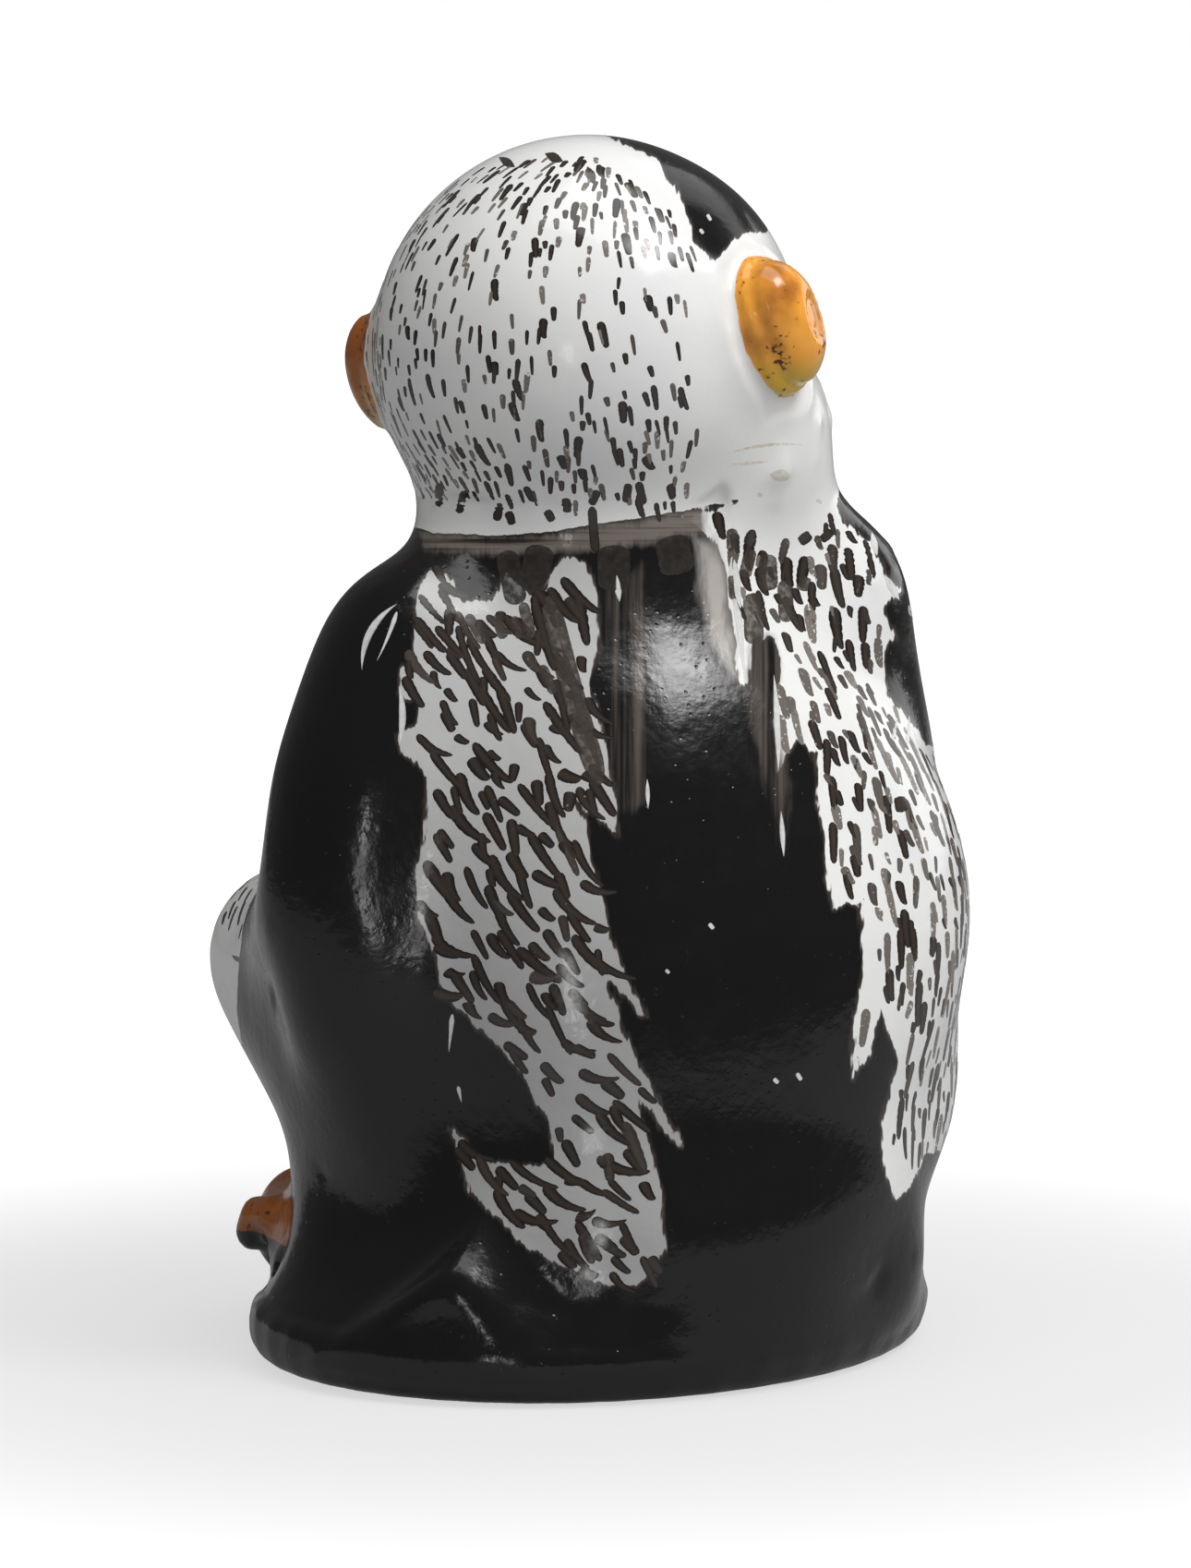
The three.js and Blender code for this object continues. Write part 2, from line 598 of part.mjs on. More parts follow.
addCasting(rightHandGroup, "right_hand", makeHand(rightHandGroup), GLAZE_ORANGE);
addCasting(leftFootGroup, "left_foot", makeFoot(1, leftFootGroup), GLAZE_BLACK);
addCasting(rightFootGroup, "right_foot", makeFoot(-1, rightFootGroup), GLAZE_BLACK);

// The origin is at the middle of the figure's footprint, on the surface it stands on.
const extent = new THREE.Box3().setFromObject(figure, true);
figure.position.set(-(extent.min.x + extent.max.x) / 2, -(extent.min.y + extent.max.y) / 2, -extent.min.z);

export default figure;
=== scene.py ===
import math
import bpy
import numpy as np
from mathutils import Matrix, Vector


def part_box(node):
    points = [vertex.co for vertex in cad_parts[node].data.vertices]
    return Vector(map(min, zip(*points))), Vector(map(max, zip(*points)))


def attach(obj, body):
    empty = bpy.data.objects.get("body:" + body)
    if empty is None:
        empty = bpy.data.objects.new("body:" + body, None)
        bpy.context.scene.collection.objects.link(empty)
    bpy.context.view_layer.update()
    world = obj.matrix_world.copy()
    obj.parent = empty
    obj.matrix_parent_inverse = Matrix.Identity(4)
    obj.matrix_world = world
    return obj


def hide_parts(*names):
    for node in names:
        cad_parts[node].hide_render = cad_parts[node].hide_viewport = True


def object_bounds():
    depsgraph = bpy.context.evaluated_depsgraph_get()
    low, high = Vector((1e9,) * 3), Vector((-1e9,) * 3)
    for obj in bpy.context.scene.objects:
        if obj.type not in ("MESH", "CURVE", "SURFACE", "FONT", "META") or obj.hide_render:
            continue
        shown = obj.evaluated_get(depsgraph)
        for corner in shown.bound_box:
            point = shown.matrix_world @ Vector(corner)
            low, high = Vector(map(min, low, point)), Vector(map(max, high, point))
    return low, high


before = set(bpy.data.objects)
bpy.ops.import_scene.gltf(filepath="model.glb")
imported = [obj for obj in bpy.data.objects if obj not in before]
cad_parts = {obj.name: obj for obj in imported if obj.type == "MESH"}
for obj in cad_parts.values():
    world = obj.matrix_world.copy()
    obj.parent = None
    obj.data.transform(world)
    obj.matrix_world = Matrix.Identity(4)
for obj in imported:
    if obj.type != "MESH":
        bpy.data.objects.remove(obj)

import openvdb
from mathutils import Matrix, Vector

cad_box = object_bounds()

# Viewpoint
# The figure is seen from behind and from its left, a little above, as it stands on the table.
# The painted patches further down are laid out as they are seen from here.
PHOTO_WIDE = 1290
PHOTO_HIGH = 1698
VIEW_AZIMUTH = math.radians(157.0)
VIEW_ELEVATION = math.radians(7.0)
VIEW_DISTANCE = 0.750
PIXELS_PER_METRE = 11100.0
FOOT_CENTRE_PIXEL = (660.0, 1441.0)
FILM_HIGH = 36.0

view_toward = np.array([
    math.sin(VIEW_AZIMUTH) * math.cos(VIEW_ELEVATION),
    -math.cos(VIEW_AZIMUTH) * math.cos(VIEW_ELEVATION),
    math.sin(VIEW_ELEVATION)])
view_right = np.array([math.cos(VIEW_AZIMUTH), math.sin(VIEW_AZIMUTH), 0.0])
view_up = np.cross(view_toward, view_right)
aim_right = (PHOTO_WIDE / 2 - FOOT_CENTRE_PIXEL[0]) / PIXELS_PER_METRE
aim_up = (FOOT_CENTRE_PIXEL[1] - PHOTO_HIGH / 2) / PIXELS_PER_METRE
view_aim = aim_right * view_right + aim_up * view_up
view_eye = view_aim + VIEW_DISTANCE * view_toward

camera_data = bpy.data.cameras.new("viewpoint")
camera_data.sensor_fit = "VERTICAL"
camera_data.sensor_height = FILM_HIGH
camera_data.lens = FILM_HIGH * PIXELS_PER_METRE * VIEW_DISTANCE / PHOTO_HIGH


def set_down(name, data):
    """A new object, put into the scene."""
    thing = bpy.data.objects.new(name, data)
    bpy.context.scene.collection.objects.link(thing)
    return thing


camera = set_down("viewpoint", camera_data)
camera_axes = np.stack([view_right, view_up, view_toward, view_eye], axis=1)
camera.matrix_world = Matrix([*camera_axes.tolist(), (0.0, 0.0, 0.0, 1.0)])
bpy.context.scene.camera = camera


def seen_at(places):
    """The picture's pixel at which each place on the figure is seen."""
    offset = places - view_aim
    scale = PIXELS_PER_METRE * VIEW_DISTANCE / (VIEW_DISTANCE - offset @ view_toward)
    across = PHOTO_WIDE / 2 + offset @ view_right * scale
    down = PHOTO_HIGH / 2 - offset @ view_up * scale
    return np.stack([across, down], axis=1)


# Clay body
# Thirteen slip castings of porcelain, stuck together with slip and sponged smooth at the joints.
# Under the glaze the joints are soft fillets, so the skin is taken from all the castings at once.
SKIN_STEP = 0.00045
SKIN_MARGIN = 0.008
NEAR_STEPS = 16

casting_names = sorted(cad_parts)
grid_low = np.array(cad_box[0]) - SKIN_MARGIN
grid_size = np.array(cad_box[1]) + SKIN_MARGIN - grid_low
grid_shape = tuple(int(n) for n in np.ceil(grid_size / SKIN_STEP).astype(int) + 1)


def solid_distance(points, **faces):
    """How far each grid place lies outside a closed surface, in metres, as far as the reach goes."""
    steps = openvdb.createLinearTransform(voxelSize=SKIN_STEP)
    grid = openvdb.FloatGrid.createLevelSetFromPolygons(
        points, transform=steps, halfWidth=NEAR_STEPS, **faces)
    distance = np.empty(grid_shape, dtype=np.float32)
    grid.copyToArray(distance)
    return distance


def casting_distance(name):
    """How far each grid place lies outside one casting."""
    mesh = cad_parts[name].data
    mesh.calc_loop_triangles()
    points = np.empty(len(mesh.vertices) * 3)
    mesh.vertices.foreach_get("co", points)
    corners = np.empty(len(mesh.loop_triangles) * 3, dtype=np.int32)
    mesh.loop_triangles.foreach_get("vertices", corners)
    points = points.reshape(-1, 3) - grid_low
    return solid_distance(points, triangles=corners.reshape(-1, 3))


BLUR_REACH = 3


def blurred(field, spread):
    """A field softened over a spread in metres, one direction after another."""
    reach = max(1, int(round(BLUR_REACH * spread / SKIN_STEP)))
    weights = np.exp(-0.5 * (np.arange(-reach, reach + 1) * SKIN_STEP / spread) ** 2)
    weights = (weights / weights.sum()).astype(np.float32)
    for axis in range(3):
        padding = [(0, 0)] * 3
        padding[axis] = (reach, reach)
        padded = np.pad(field, padding, mode="edge")
        length = field.shape[axis]
        total = np.zeros_like(field)
        for shift, weight in enumerate(weights):
            window = [slice(None)] * 3
            window[axis] = slice(shift, shift + length)
            total += weight * padded[tuple(window)]
        field = total
    return field


def eased(values, start, end):
    """0 before start, 1 after end, with a soft rise between them."""
    share = np.clip((values - start) / (end - start), 0.0, 1.0)
    return share * share * (3.0 - 2.0 * share)


def shut_in(solid):
    """Places with clay on both sides in all three directions: the hollow inside."""
    inside = np.ones_like(solid)
    for axis in range(3):
        inside &= np.maximum.accumulate(solid, axis=axis)
        inside &= np.flip(np.maximum.accumulate(np.flip(solid, axis), axis=axis), axis)
    return inside


grid_axes = [low + SKIN_STEP * np.arange(count, dtype=np.float32)
             for low, count in zip(grid_low, grid_shape)]
grid_across, grid_back, grid_height = np.meshgrid(*grid_axes, indexing="ij", sparse=True)


# The plinth's oval, which the clay round it keeps to.
OVAL_MIDDLE = (0.0033, 0.0028)
OVAL_HALF = (0.0360, 0.0305)
OVAL_TURN = math.radians(28.0)


def outside_oval():
    """How far each grid place lies outside the plinth's oval, seen from above."""
    x, y = grid_across - OVAL_MIDDLE[0], grid_back - OVAL_MIDDLE[1]
    along = (x * math.cos(OVAL_TURN) + y * math.sin(OVAL_TURN)) / OVAL_HALF[0]
    aside = (y * math.cos(OVAL_TURN) - x * math.sin(OVAL_TURN)) / OVAL_HALF[1]
    return (np.sqrt(along * along + aside * aside) - 1.0) * OVAL_HALF[1]


# The clay smeared over the ledge beside and behind the seat.
FILL_INSET = 0.0008
FILL_DRAW_IN = 0.011
FILL_TOP = 0.016
FILL_FROM = 0.005
FILL_BACK = (-0.026, 0.002)
FILL_FILLET = 0.0060


def filled_ledge():
    """How far each grid place lies outside the clay smeared between the seat and the plinth's edge."""
    inset = FILL_INSET + FILL_DRAW_IN * (grid_height / FILL_TOP) ** 2
    in_front = FILL_TOP * (1.0 - eased(grid_back, *FILL_BACK))
    above_or_below = np.maximum(grid_height - FILL_TOP, FILL_FROM - grid_height)
    return np.maximum(outside_oval() + inset + in_front, above_or_below).astype(np.float32)


def away_from(place):
    """How far each grid place lies from one place: across, back and up."""
    return [axis - start for axis, start in zip((grid_across, grid_back, grid_height), place)]


def outside_ball(middle, radius):
    """How far each grid place lies outside a ball."""
    x, y, z = away_from(middle)
    return np.sqrt(x * x + y * y + z * z) - radius


# The left heel, which shows as a small mound under the flank.
HEEL_APEX = (0.0237, 0.0250, 0.0162)
HEEL_SPREAD = 1.15
HEEL_FACE = (0.0247, 0.0282, 0.0113)
HEEL_FACE_TOWARD = (0.03, 0.860, 0.510)
HEEL_FACE_RADIUS = 0.050
HEEL_INSET = 0.0004
HEEL_FROM = 0.003
HEEL_FILLET = 0.0012
HEEL_LUTING = 0.0020


def heel_mound():
    """How far each grid place lies outside the left heel: a small cone under the body, flat behind."""
    x, y, z = away_from(HEEL_APEX)
    slant = (np.hypot(x, y) + z * HEEL_SPREAD) / math.hypot(1.0, HEEL_SPREAD)
    middle = np.array(HEEL_FACE) - HEEL_FACE_RADIUS * np.array(HEEL_FACE_TOWARD)
    mound = -luted(-slant, -outside_ball(middle, HEEL_FACE_RADIUS), HEEL_FILLET)
    mound = -luted(-mound, -outside_oval() - HEEL_INSET, HEEL_FILLET)
    return np.maximum(mound, HEEL_FROM - grid_height).astype(np.float32)


# The left elbow's low end.
ELBOW_TOP = (0.0285, 0.0080, 0.0435)
ELBOW_LOW = (0.0280, 0.0085, 0.0365)
ELBOW_RADIUS = 0.0088


def sagging_elbow():
    """How far each grid place lies outside the left elbow, which sagged as the wet arm was set on."""
    bone = np.array(ELBOW_LOW) - np.array(ELBOW_TOP)
    x, y, z = away_from(ELBOW_TOP)
    share = np.clip((x * bone[0] + y * bone[1] + z * bone[2]) / (bone @ bone), 0.0, 1.0)
    gap = np.sqrt((x - share * bone[0]) ** 2 + (y - share * bone[1]) ** 2 + (z - share * bone[2]) ** 2)
    return (gap - ELBOW_RADIUS).astype(np.float32)


FILLET_SHARE = 0.25


def luted(body, casting, fillet):
    """Two distances joined into one, with the corner between them filled by slip."""
    overlap = np.maximum(fillet - np.abs(body - casting), 0.0) / fillet
    return np.minimum(body, casting) - overlap * overlap * (fillet * FILLET_SHARE)


# The order in which the castings are stuck to the trunk, and the radius of each joint's slip.
LUTING_ORDER = {
    "left_leg": 0.0065, "right_leg": 0.0065, "left_arm": 0.0060, "right_arm": 0.0060,
    "head_shell": 0.0035, "left_foot": 0.0040, "right_foot": 0.0040,
    "left_hand": 0.0014, "right_hand": 0.0014, "left_ear": 0.0016, "right_ear": 0.0016}
RIGHT_NECK_FILLET = 0.0070
RIGHT_NECK_FROM = (0.002, 0.012)
PLINTH_FILLET = 0.0030
SEAT_SPREAD = 0.0026
SEAT_SPREAD_HEIGHT = (0.013, 0.026)
SEAT_SPREAD_BACK = (0.004, 0.016)
FOOT_BALL = (0.0224, -0.0225, 0.0084)
FOOT_BALL_RADIUS = 0.0060
FOOT_BALL_FILLET = 0.0030
seat_spread = eased(grid_back, *SEAT_SPREAD_BACK) * (1.0 - eased(grid_height, *SEAT_SPREAD_HEIGHT))
clay = casting_distance("trunk_shell") - SEAT_SPREAD * seat_spread
nearest = clay
shell = clay < 0
owner = np.full(grid_shape, casting_names.index("trunk_shell"), dtype=np.int8)
for name, fillet in LUTING_ORDER.items():
    distance = casting_distance(name)
    if name == "head_shell":
        shell |= distance < 0
    if name == "left_arm":
        distance = np.minimum(distance, sagging_elbow())
    if name == "left_foot":
        ball = outside_ball(FOOT_BALL, FOOT_BALL_RADIUS).astype(np.float32)
        distance = luted(distance, ball, FOOT_BALL_FILLET)
    owner[distance < nearest] = casting_names.index(name)
    nearest = np.minimum(nearest, distance)
    if name == "head_shell":
        fillet = fillet + (RIGHT_NECK_FILLET - fillet) * eased(-grid_across, *RIGHT_NECK_FROM)
    clay = luted(clay, distance, fillet)

# The hollows of the trunk and head count as clay, because only the outside is glazed and seen.
clay = luted(clay, filled_ledge(), FILL_FILLET)
plinth_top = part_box("plinth")[1][2]
plinth_layers = int((plinth_top - grid_low[2]) / SKIN_STEP) + 1
shell[:, :, :plinth_layers] = True
hollow = shut_in(shell)
hollow[:, :, :plinth_layers] = False
clay[hollow] = -NEAR_STEPS * SKIN_STEP
clay_grid = openvdb.FloatGrid()
clay_grid.copyFromArray(clay)
clay_points, clay_quads = clay_grid.convertToQuads(isovalue=0.0)
clay = solid_distance(clay_points * SKIN_STEP, quads=clay_quads)

# The plinth goes on last, so that the recess below it stays open.
distance = casting_distance("plinth")
owner[distance < nearest] = casting_names.index("plinth")
clay = luted(clay, distance, PLINTH_FILLET)

# Sponging: broad on the open forms, fine along the creases.
FINE_SPONGE = 0.00050
BROAD_SPONGE = 0.0030
CREASE_KEPT = (0.00022, 0.00052)
fine = blurred(clay, FINE_SPONGE)
broad = blurred(clay, BROAD_SPONGE)
broad = 2.0 * broad - blurred(broad, BROAD_SPONGE)
crease = eased(blurred(np.abs(broad - fine), FINE_SPONGE), *CREASE_KEPT)
skin_field = luted(broad + (fine - broad) * crease, heel_mound(), HEEL_LUTING)
skin_field = np.maximum(skin_field, -grid_height)
skin_slope = np.stack(np.gradient(skin_field, SKIN_STEP), axis=-1)

SETTLING_STEPS = 3
CELL_MARGIN = 1.001
LEAST_LENGTH = 1e-9
LEAST_SLOPE = 1e-6


def sampled(field, places):
    """A field's value between its grid places."""
    spot = np.clip((places - grid_low) / SKIN_STEP, 0.0, np.array(grid_shape) - CELL_MARGIN)
    cell = np.floor(spot).astype(int)
    part = spot - cell
    total = 0.0
    for corner in np.ndindex(2, 2, 2):
        weight = np.prod(np.where(corner, part, 1.0 - part), axis=1)
        value = field[cell[:, 0] + corner[0], cell[:, 1] + corner[1], cell[:, 2] + corner[2]]
        total = total + (weight[:, None] * value if value.ndim > 1 else weight * value)
    return total


def normals_at(places):
    """The skin's outward direction at each place."""
    slope = sampled(skin_slope, places)
    return slope / np.maximum(np.linalg.norm(slope, axis=1, keepdims=True), LEAST_LENGTH)


def settled_on_skin(places):
    """Places near the skin, moved along its slope until they lie on it."""
    for _ in range(SETTLING_STEPS):
        slope = sampled(skin_slope, places)
        height = sampled(skin_field, places)
        steepness = np.maximum((slope * slope).sum(axis=1), LEAST_SLOPE)
        places = places - slope * (height / steepness)[:, None]
    return places


def owners_at(places):
    """The number of the casting that each place on the skin belongs to."""
    spot = np.clip(np.round((places - grid_low) / SKIN_STEP).astype(int), 0, np.array(grid_shape) - 1)
    return owner[spot[:, 0], spot[:, 1], spot[:, 2]]


skin_grid = openvdb.FloatGrid()
skin_grid.copyFromArray(skin_field)
skin_points, skin_quads = skin_grid.convertToQuads(isovalue=0.0)
skin_points = settled_on_skin(skin_points.astype(float) * SKIN_STEP + grid_low)
skin_quads = skin_quads[:, ::-1].astype(int)
skin_normals = normals_at(skin_points)
quad_normal = np.cross(
    skin_points[skin_quads[:, 2]] - skin_points[skin_quads[:, 0]],
    skin_points[skin_quads[:, 3]] - skin_points[skin_quads[:, 1]])
if (quad_normal * skin_normals[skin_quads[:, 0]]).sum() < 0:
    skin_quads = skin_quads[:, ::-1]
quad_owner = owners_at(skin_points[skin_quads].mean(axis=1))
skin_owner = owners_at(skin_points)

# Base coats
# Before the patterns go on, the head is left white, the ears and hands are brushed amber,
# and everything else is brushed black. All of it then gets one clear, slightly wavy gloss glaze.
MM_PER_METRE = 1000.0
PIXELS_PER_MM = PIXELS_PER_METRE / MM_PER_METRE
NECK_LINE_ACROSS = (440, 470, 540, 600, 660, 740, 800)
NECK_LINE_DOWN = (568, 577, 580, 575, 566, 553, 540)
FEATHER_TIMES = 12
FEATHER_MM = 3.0
COAT_SPREAD = 3.0
NECK_NEATNESS = 4.0
NECK_SEEN = 0.05
skin_mm = skin_points * MM_PER_METRE
skin_pixels = seen_at(skin_points)
across_px, down_px = skin_pixels[:, 0], skin_pixels[:, 1]
to_viewer = view_eye - skin_points
to_viewer /= np.linalg.norm(to_viewer, axis=1, keepdims=True)
facing = (skin_normals * to_viewer).sum(axis=1)
skin_edges = np.concatenate([skin_quads[:, [k, (k + 1) % 4]] for k in range(4)])
edge_count = np.bincount(skin_edges[:, 0], minlength=len(skin_points))


def belongs_by(*names):
    """How far inside these castings' share of the skin each point lies, roughly in millimetres."""
    share = np.isin(skin_owner, [casting_names.index(name) for name in names]).astype(float)
    for _ in range(FEATHER_TIMES):
        near = np.bincount(skin_edges[:, 0], weights=share[skin_edges[:, 1]], minlength=len(share))
        share = 0.5 * share + 0.5 * near / np.maximum(edge_count, 1)
    return (share - 0.5) * FEATHER_MM


head_by = belongs_by("head_shell", "left_ear", "right_ear")
ears_by = belongs_by("left_ear", "right_ear")
hands_by = belongs_by("left_hand", "right_hand")
neck_by = (np.interp(across_px, NECK_LINE_ACROSS, NECK_LINE_DOWN) - down_px) / PIXELS_PER_MM
on_neck = (facing > NECK_SEEN) & (across_px > NECK_LINE_ACROSS[0])
on_neck &= across_px < NECK_LINE_ACROSS[-1]
white_by = np.where(on_neck, neck_by * NECK_NEATNESS, head_by * COAT_SPREAD)
paint = {"black": -white_by, "amber": np.maximum(ears_by, hands_by)}
for key in ("wash", "band", "veil_and_highlight", "flesh", "bare", "yellow"):
    paint[key] = np.full(len(skin_mm), -FEATHER_MM)
for key in ("painted_shade", "burnt_and_shaded"):
    paint[key] = np.zeros(len(skin_mm))


def feed(tree, node, **inputs):
    """A node with its inputs set to values or linked to other nodes' outputs."""
    for key, value in inputs.items():
        numbered = key[0] == "i" and key[1:].isdigit()
        socket = node.inputs[int(key[1:])] if numbered else node.inputs[key.replace("_", " ")]
        if isinstance(value, bpy.types.NodeSocket):
            tree.links.new(value, socket)
        else:
            socket.default_value = value
    return node


def wire(tree, kind, settings=None, **inputs):
    """A new node of a kind, with its settings and inputs."""
    node = tree.nodes.new(kind)
    for key, value in (settings or {}).items():
        setattr(node, key, value)
    return feed(tree, node, **inputs)


def sums(tree, operation, *terms):
    """The output of one arithmetic node."""
    inputs = {"i%d" % number: term for number, term in enumerate(terms)}
    return wire(tree, "ShaderNodeMath", {"operation": operation}, **inputs).outputs[0]


def ramp(tree, value, start, end, low=0.0, high=1.0):
    """A soft rise from low to high as the value goes from start to end."""
    node = wire(tree, "ShaderNodeMapRange", {"interpolation_type": "SMOOTHSTEP"},
                i0=value, i1=start, i2=end, i3=low, i4=high)
    return node.outputs[0]


def blend(tree, share, first, second):
    """A colour between two colours."""
    return wire(tree, "ShaderNodeMix", {"data_type": "RGBA"}, i0=share, i6=first, i7=second).outputs[2]


PLAIN_DETAIL = 1.0
SOFT_DETAIL = 2.0
FINE_DETAIL = 3.0
FINEST_DETAIL = 4.0
EVEN = (1.0, 1.0, 1.0)


def noise(tree, place, scale, detail=SOFT_DETAIL, stretch=EVEN):
    """A soft random value around 0.5, with the pattern drawn out by the stretch."""
    mapped = wire(tree, "ShaderNodeMapping", None, Vector=place, Scale=stretch).outputs[0]
    return wire(tree, "ShaderNodeTexNoise", None, Vector=mapped, Scale=scale, Detail=detail).outputs[0]


def mottled(tree, place, scale, edge, detail=FINE_DETAIL, stretch=EVEN):
    """A random pattern that sets in and fills over a range of its noise."""
    return ramp(tree, noise(tree, place, scale, detail, stretch), *edge)


def layer(tree, name, output="Fac"):
    """A painted area's depth in millimetres, or another value that is stored on the skin."""
    return wire(tree, "ShaderNodeAttribute", {"attribute_name": name}).outputs[output]


WHITE_GLAZE = (0.84, 0.84, 0.825, 1.0)
WHITE_CLOUD = (0.79, 0.795, 0.79, 1.0)
# The greyed white used as painted shade on the left flank.
FLANK_WHITE_IN_PAINTED_SHADE = (0.38, 0.38, 0.377, 1.0)
BLACK_GLAZE = (0.0065, 0.006, 0.006, 1.0)
THIN_BLACK = (0.060, 0.047, 0.040, 1.0)
WASH_GREY = (0.115, 0.097, 0.085, 1.0)
BAND_GREY = (0.22, 0.19, 0.165, 1.0)
# The veil's grey: thin black over white, made pale enough to stand in for part of the highlight on the back,
# as painted highlight.
VEIL_GREY_AND_HIGHLIGHT = (0.50, 0.47, 0.44, 1.0)
AMBER_GLAZE = (0.95, 0.40, 0.052, 1.0)
# Amber burnt dark where it lay thick, also used as painted shade on the left ear.
AMBER_BURNT_AND_SHADED = (0.30, 0.075, 0.012, 1.0)
YELLOW_GLAZE = (0.74, 0.48, 0.03, 1.0)
RUST_SPECK = (0.11, 0.016, 0.004, 1.0)
FLESH_GLAZE = (0.60, 0.27, 0.12, 1.0)
BISCUIT = (0.66, 0.61, 0.54, 1.0)
VERTICAL_PULL = (1.0, 0.22, 1.0)
LONG_PULL = (1.0, 0.028, 1.0)
LEVEL_PULL = (0.028, 1.0, 1.0)

glaze = bpy.data.node_groups.new("painted glaze", "ShaderNodeTree")
glaze.interface.new_socket("Ragged", in_out="INPUT", socket_type="NodeSocketFloat").default_value = 1.0
for key, kind in {"Colour": "Color", "Roughness": "Float", "Height": "Float"}.items():
    glaze.interface.new_socket(key, in_out="OUTPUT", socket_type="NodeSocket" + kind)
enter = glaze.nodes.new("NodeGroupInput")
place = glaze.nodes.new("ShaderNodeTexCoord").outputs["Object"]
brushed = layer(glaze, "brush_place", "Vector")

# Ragged borders: the brush pulls the paint downwards and leaves hairs at its edge.
PULL_SCALE = 0.85
PULL_MM = 2.6
HAIR_SCALE = 3.2
HAIR_MM = 0.9
RAGGED_SHIFT = -1.75
COVER_EDGE = (-0.06, 0.10)
THICK_EDGE = (-0.05, 0.5)
pull = noise(glaze, brushed, PULL_SCALE, stretch=VERTICAL_PULL)
hair = noise(glaze, brushed, HAIR_SCALE, PLAIN_DETAIL, VERTICAL_PULL)
hairy = sums(glaze, "MULTIPLY_ADD", hair, HAIR_MM, RAGGED_SHIFT)
ragged = sums(glaze, "MULTIPLY_ADD", pull, PULL_MM, hairy)
ragged = sums(glaze, "MULTIPLY", ragged, enter.outputs["Ragged"])
depth = sums(glaze, "ADD", layer(glaze, "black"), ragged)
covered = ramp(glaze, depth, *COVER_EDGE)
thick = ramp(glaze, depth, *THICK_EDGE)

# Thin black: long streaks where the brush ran dry, upright on the back and level round the neck.
UPRIGHT_SCALE = 1.3
UPRIGHT_STREAK = (0.36, 0.70)
UPRIGHT_SHARE = 0.85
LEVEL_SCALE = 1.6
LEVEL_STREAK = (0.28, 0.56)
LEVEL_SHARE = 0.9
WASH_EDGE = (-0.4, 0.8)
WASH_COVER = 0.92
VEIL_AND_HIGHLIGHT_EDGE = (-0.5, 1.2, 0.0, 0.85)
FLESH_EDGE = (-0.6, 1.4, 0.0, 0.85)
CLOUD_SCALE = 90.0
CLOUD_EDGE = (0.35, 0.75)


def brushed_area(name, edge):
    """How much of the glaze a painted area covers, with a ragged border."""
    return ramp(glaze, sums(glaze, "ADD", layer(glaze, name), ragged), *edge)


upright_streak = mottled(glaze, brushed, UPRIGHT_SCALE, UPRIGHT_STREAK, FINEST_DETAIL, LONG_PULL)
level_streak = mottled(glaze, brushed, LEVEL_SCALE, LEVEL_STREAK, FINEST_DETAIL, LEVEL_PULL)
washed = brushed_area("wash", WASH_EDGE)
banded = brushed_area("band", WASH_EDGE)
upright_only = sums(glaze, "MULTIPLY", washed, sums(glaze, "SUBTRACT", 1.0, banded))
upright_thin = sums(glaze, "MULTIPLY", upright_only, sums(glaze, "MULTIPLY", upright_streak, UPRIGHT_SHARE))
level_thin = sums(glaze, "MULTIPLY", banded, sums(glaze, "MULTIPLY", level_streak, LEVEL_SHARE))
veiled_and_lit = brushed_area("veil_and_highlight", VEIL_AND_HIGHLIGHT_EDGE)
washed = sums(glaze, "MAXIMUM", sums(glaze, "MAXIMUM", washed, banded), veiled_and_lit)
cloud = mottled(glaze, place, CLOUD_SCALE, CLOUD_EDGE)
white = blend(glaze, cloud, WHITE_GLAZE, WHITE_CLOUD)
# Painted shade: the white is greyed where the left flank's shade layer is set.
white = blend(glaze, layer(glaze, "painted_shade"), white, FLANK_WHITE_IN_PAINTED_SHADE)
dark = blend(glaze, thick, THIN_BLACK, BLACK_GLAZE)
dark = blend(glaze, level_thin, blend(glaze, upright_thin, dark, WASH_GREY), BAND_GREY)
# Painted highlight: the veil's pale grey stands in for part of the gloss highlight beside the spine.
dark = blend(glaze, veiled_and_lit, dark, VEIL_GREY_AND_HIGHLIGHT)
cover = sums(glaze, "MAXIMUM", covered, sums(glaze, "MULTIPLY", washed, WASH_COVER))
painted = blend(glaze, cover, blend(glaze, brushed_area("flesh", FLESH_EDGE), white, FLESH_GLAZE), dark)

# Amber: uneven enamel, yellow where it ran thin and burnt or specked with rust where it lay thick; the burnt
# tone is also laid over the left ear as painted shade.
AMBER_PULL_MM = 0.8
AMBER_SHIFT = -0.4
AMBER_EDGE = (-0.1, 0.15)
SCORCH_SCALE = 190.0
SCORCH_STEP = 0.5
SCORCH_EDGE = (0.45, 0.85, 0.0, 0.9)
TINT_SCALE = 260.0
TINT_STEP = 1.6
TINT_SHIFT = -0.8
YELLOW_EDGE = (-0.6, 0.9)
SPECK_SCALE = 1500.0
SPECK_PATCH_SCALE = 330.0
SPECK_PATCH_STEP = 0.9
SPECK_EDGE = (1.10, 1.22)
BARE_EDGE = (-0.2, 0.3)
GRIT_SCALE = 2200.0
GRIT_EDGE = (0.45, 0.8)
amber_pull = sums(glaze, "MULTIPLY_ADD", pull, AMBER_PULL_MM, AMBER_SHIFT)
amber_depth = sums(glaze, "ADD", layer(glaze, "amber"), amber_pull)
tint = noise(glaze, place, TINT_SCALE)
burnt_and_shaded = sums(glaze, "MULTIPLY", layer(glaze, "burnt_and_shaded"), SCORCH_STEP)
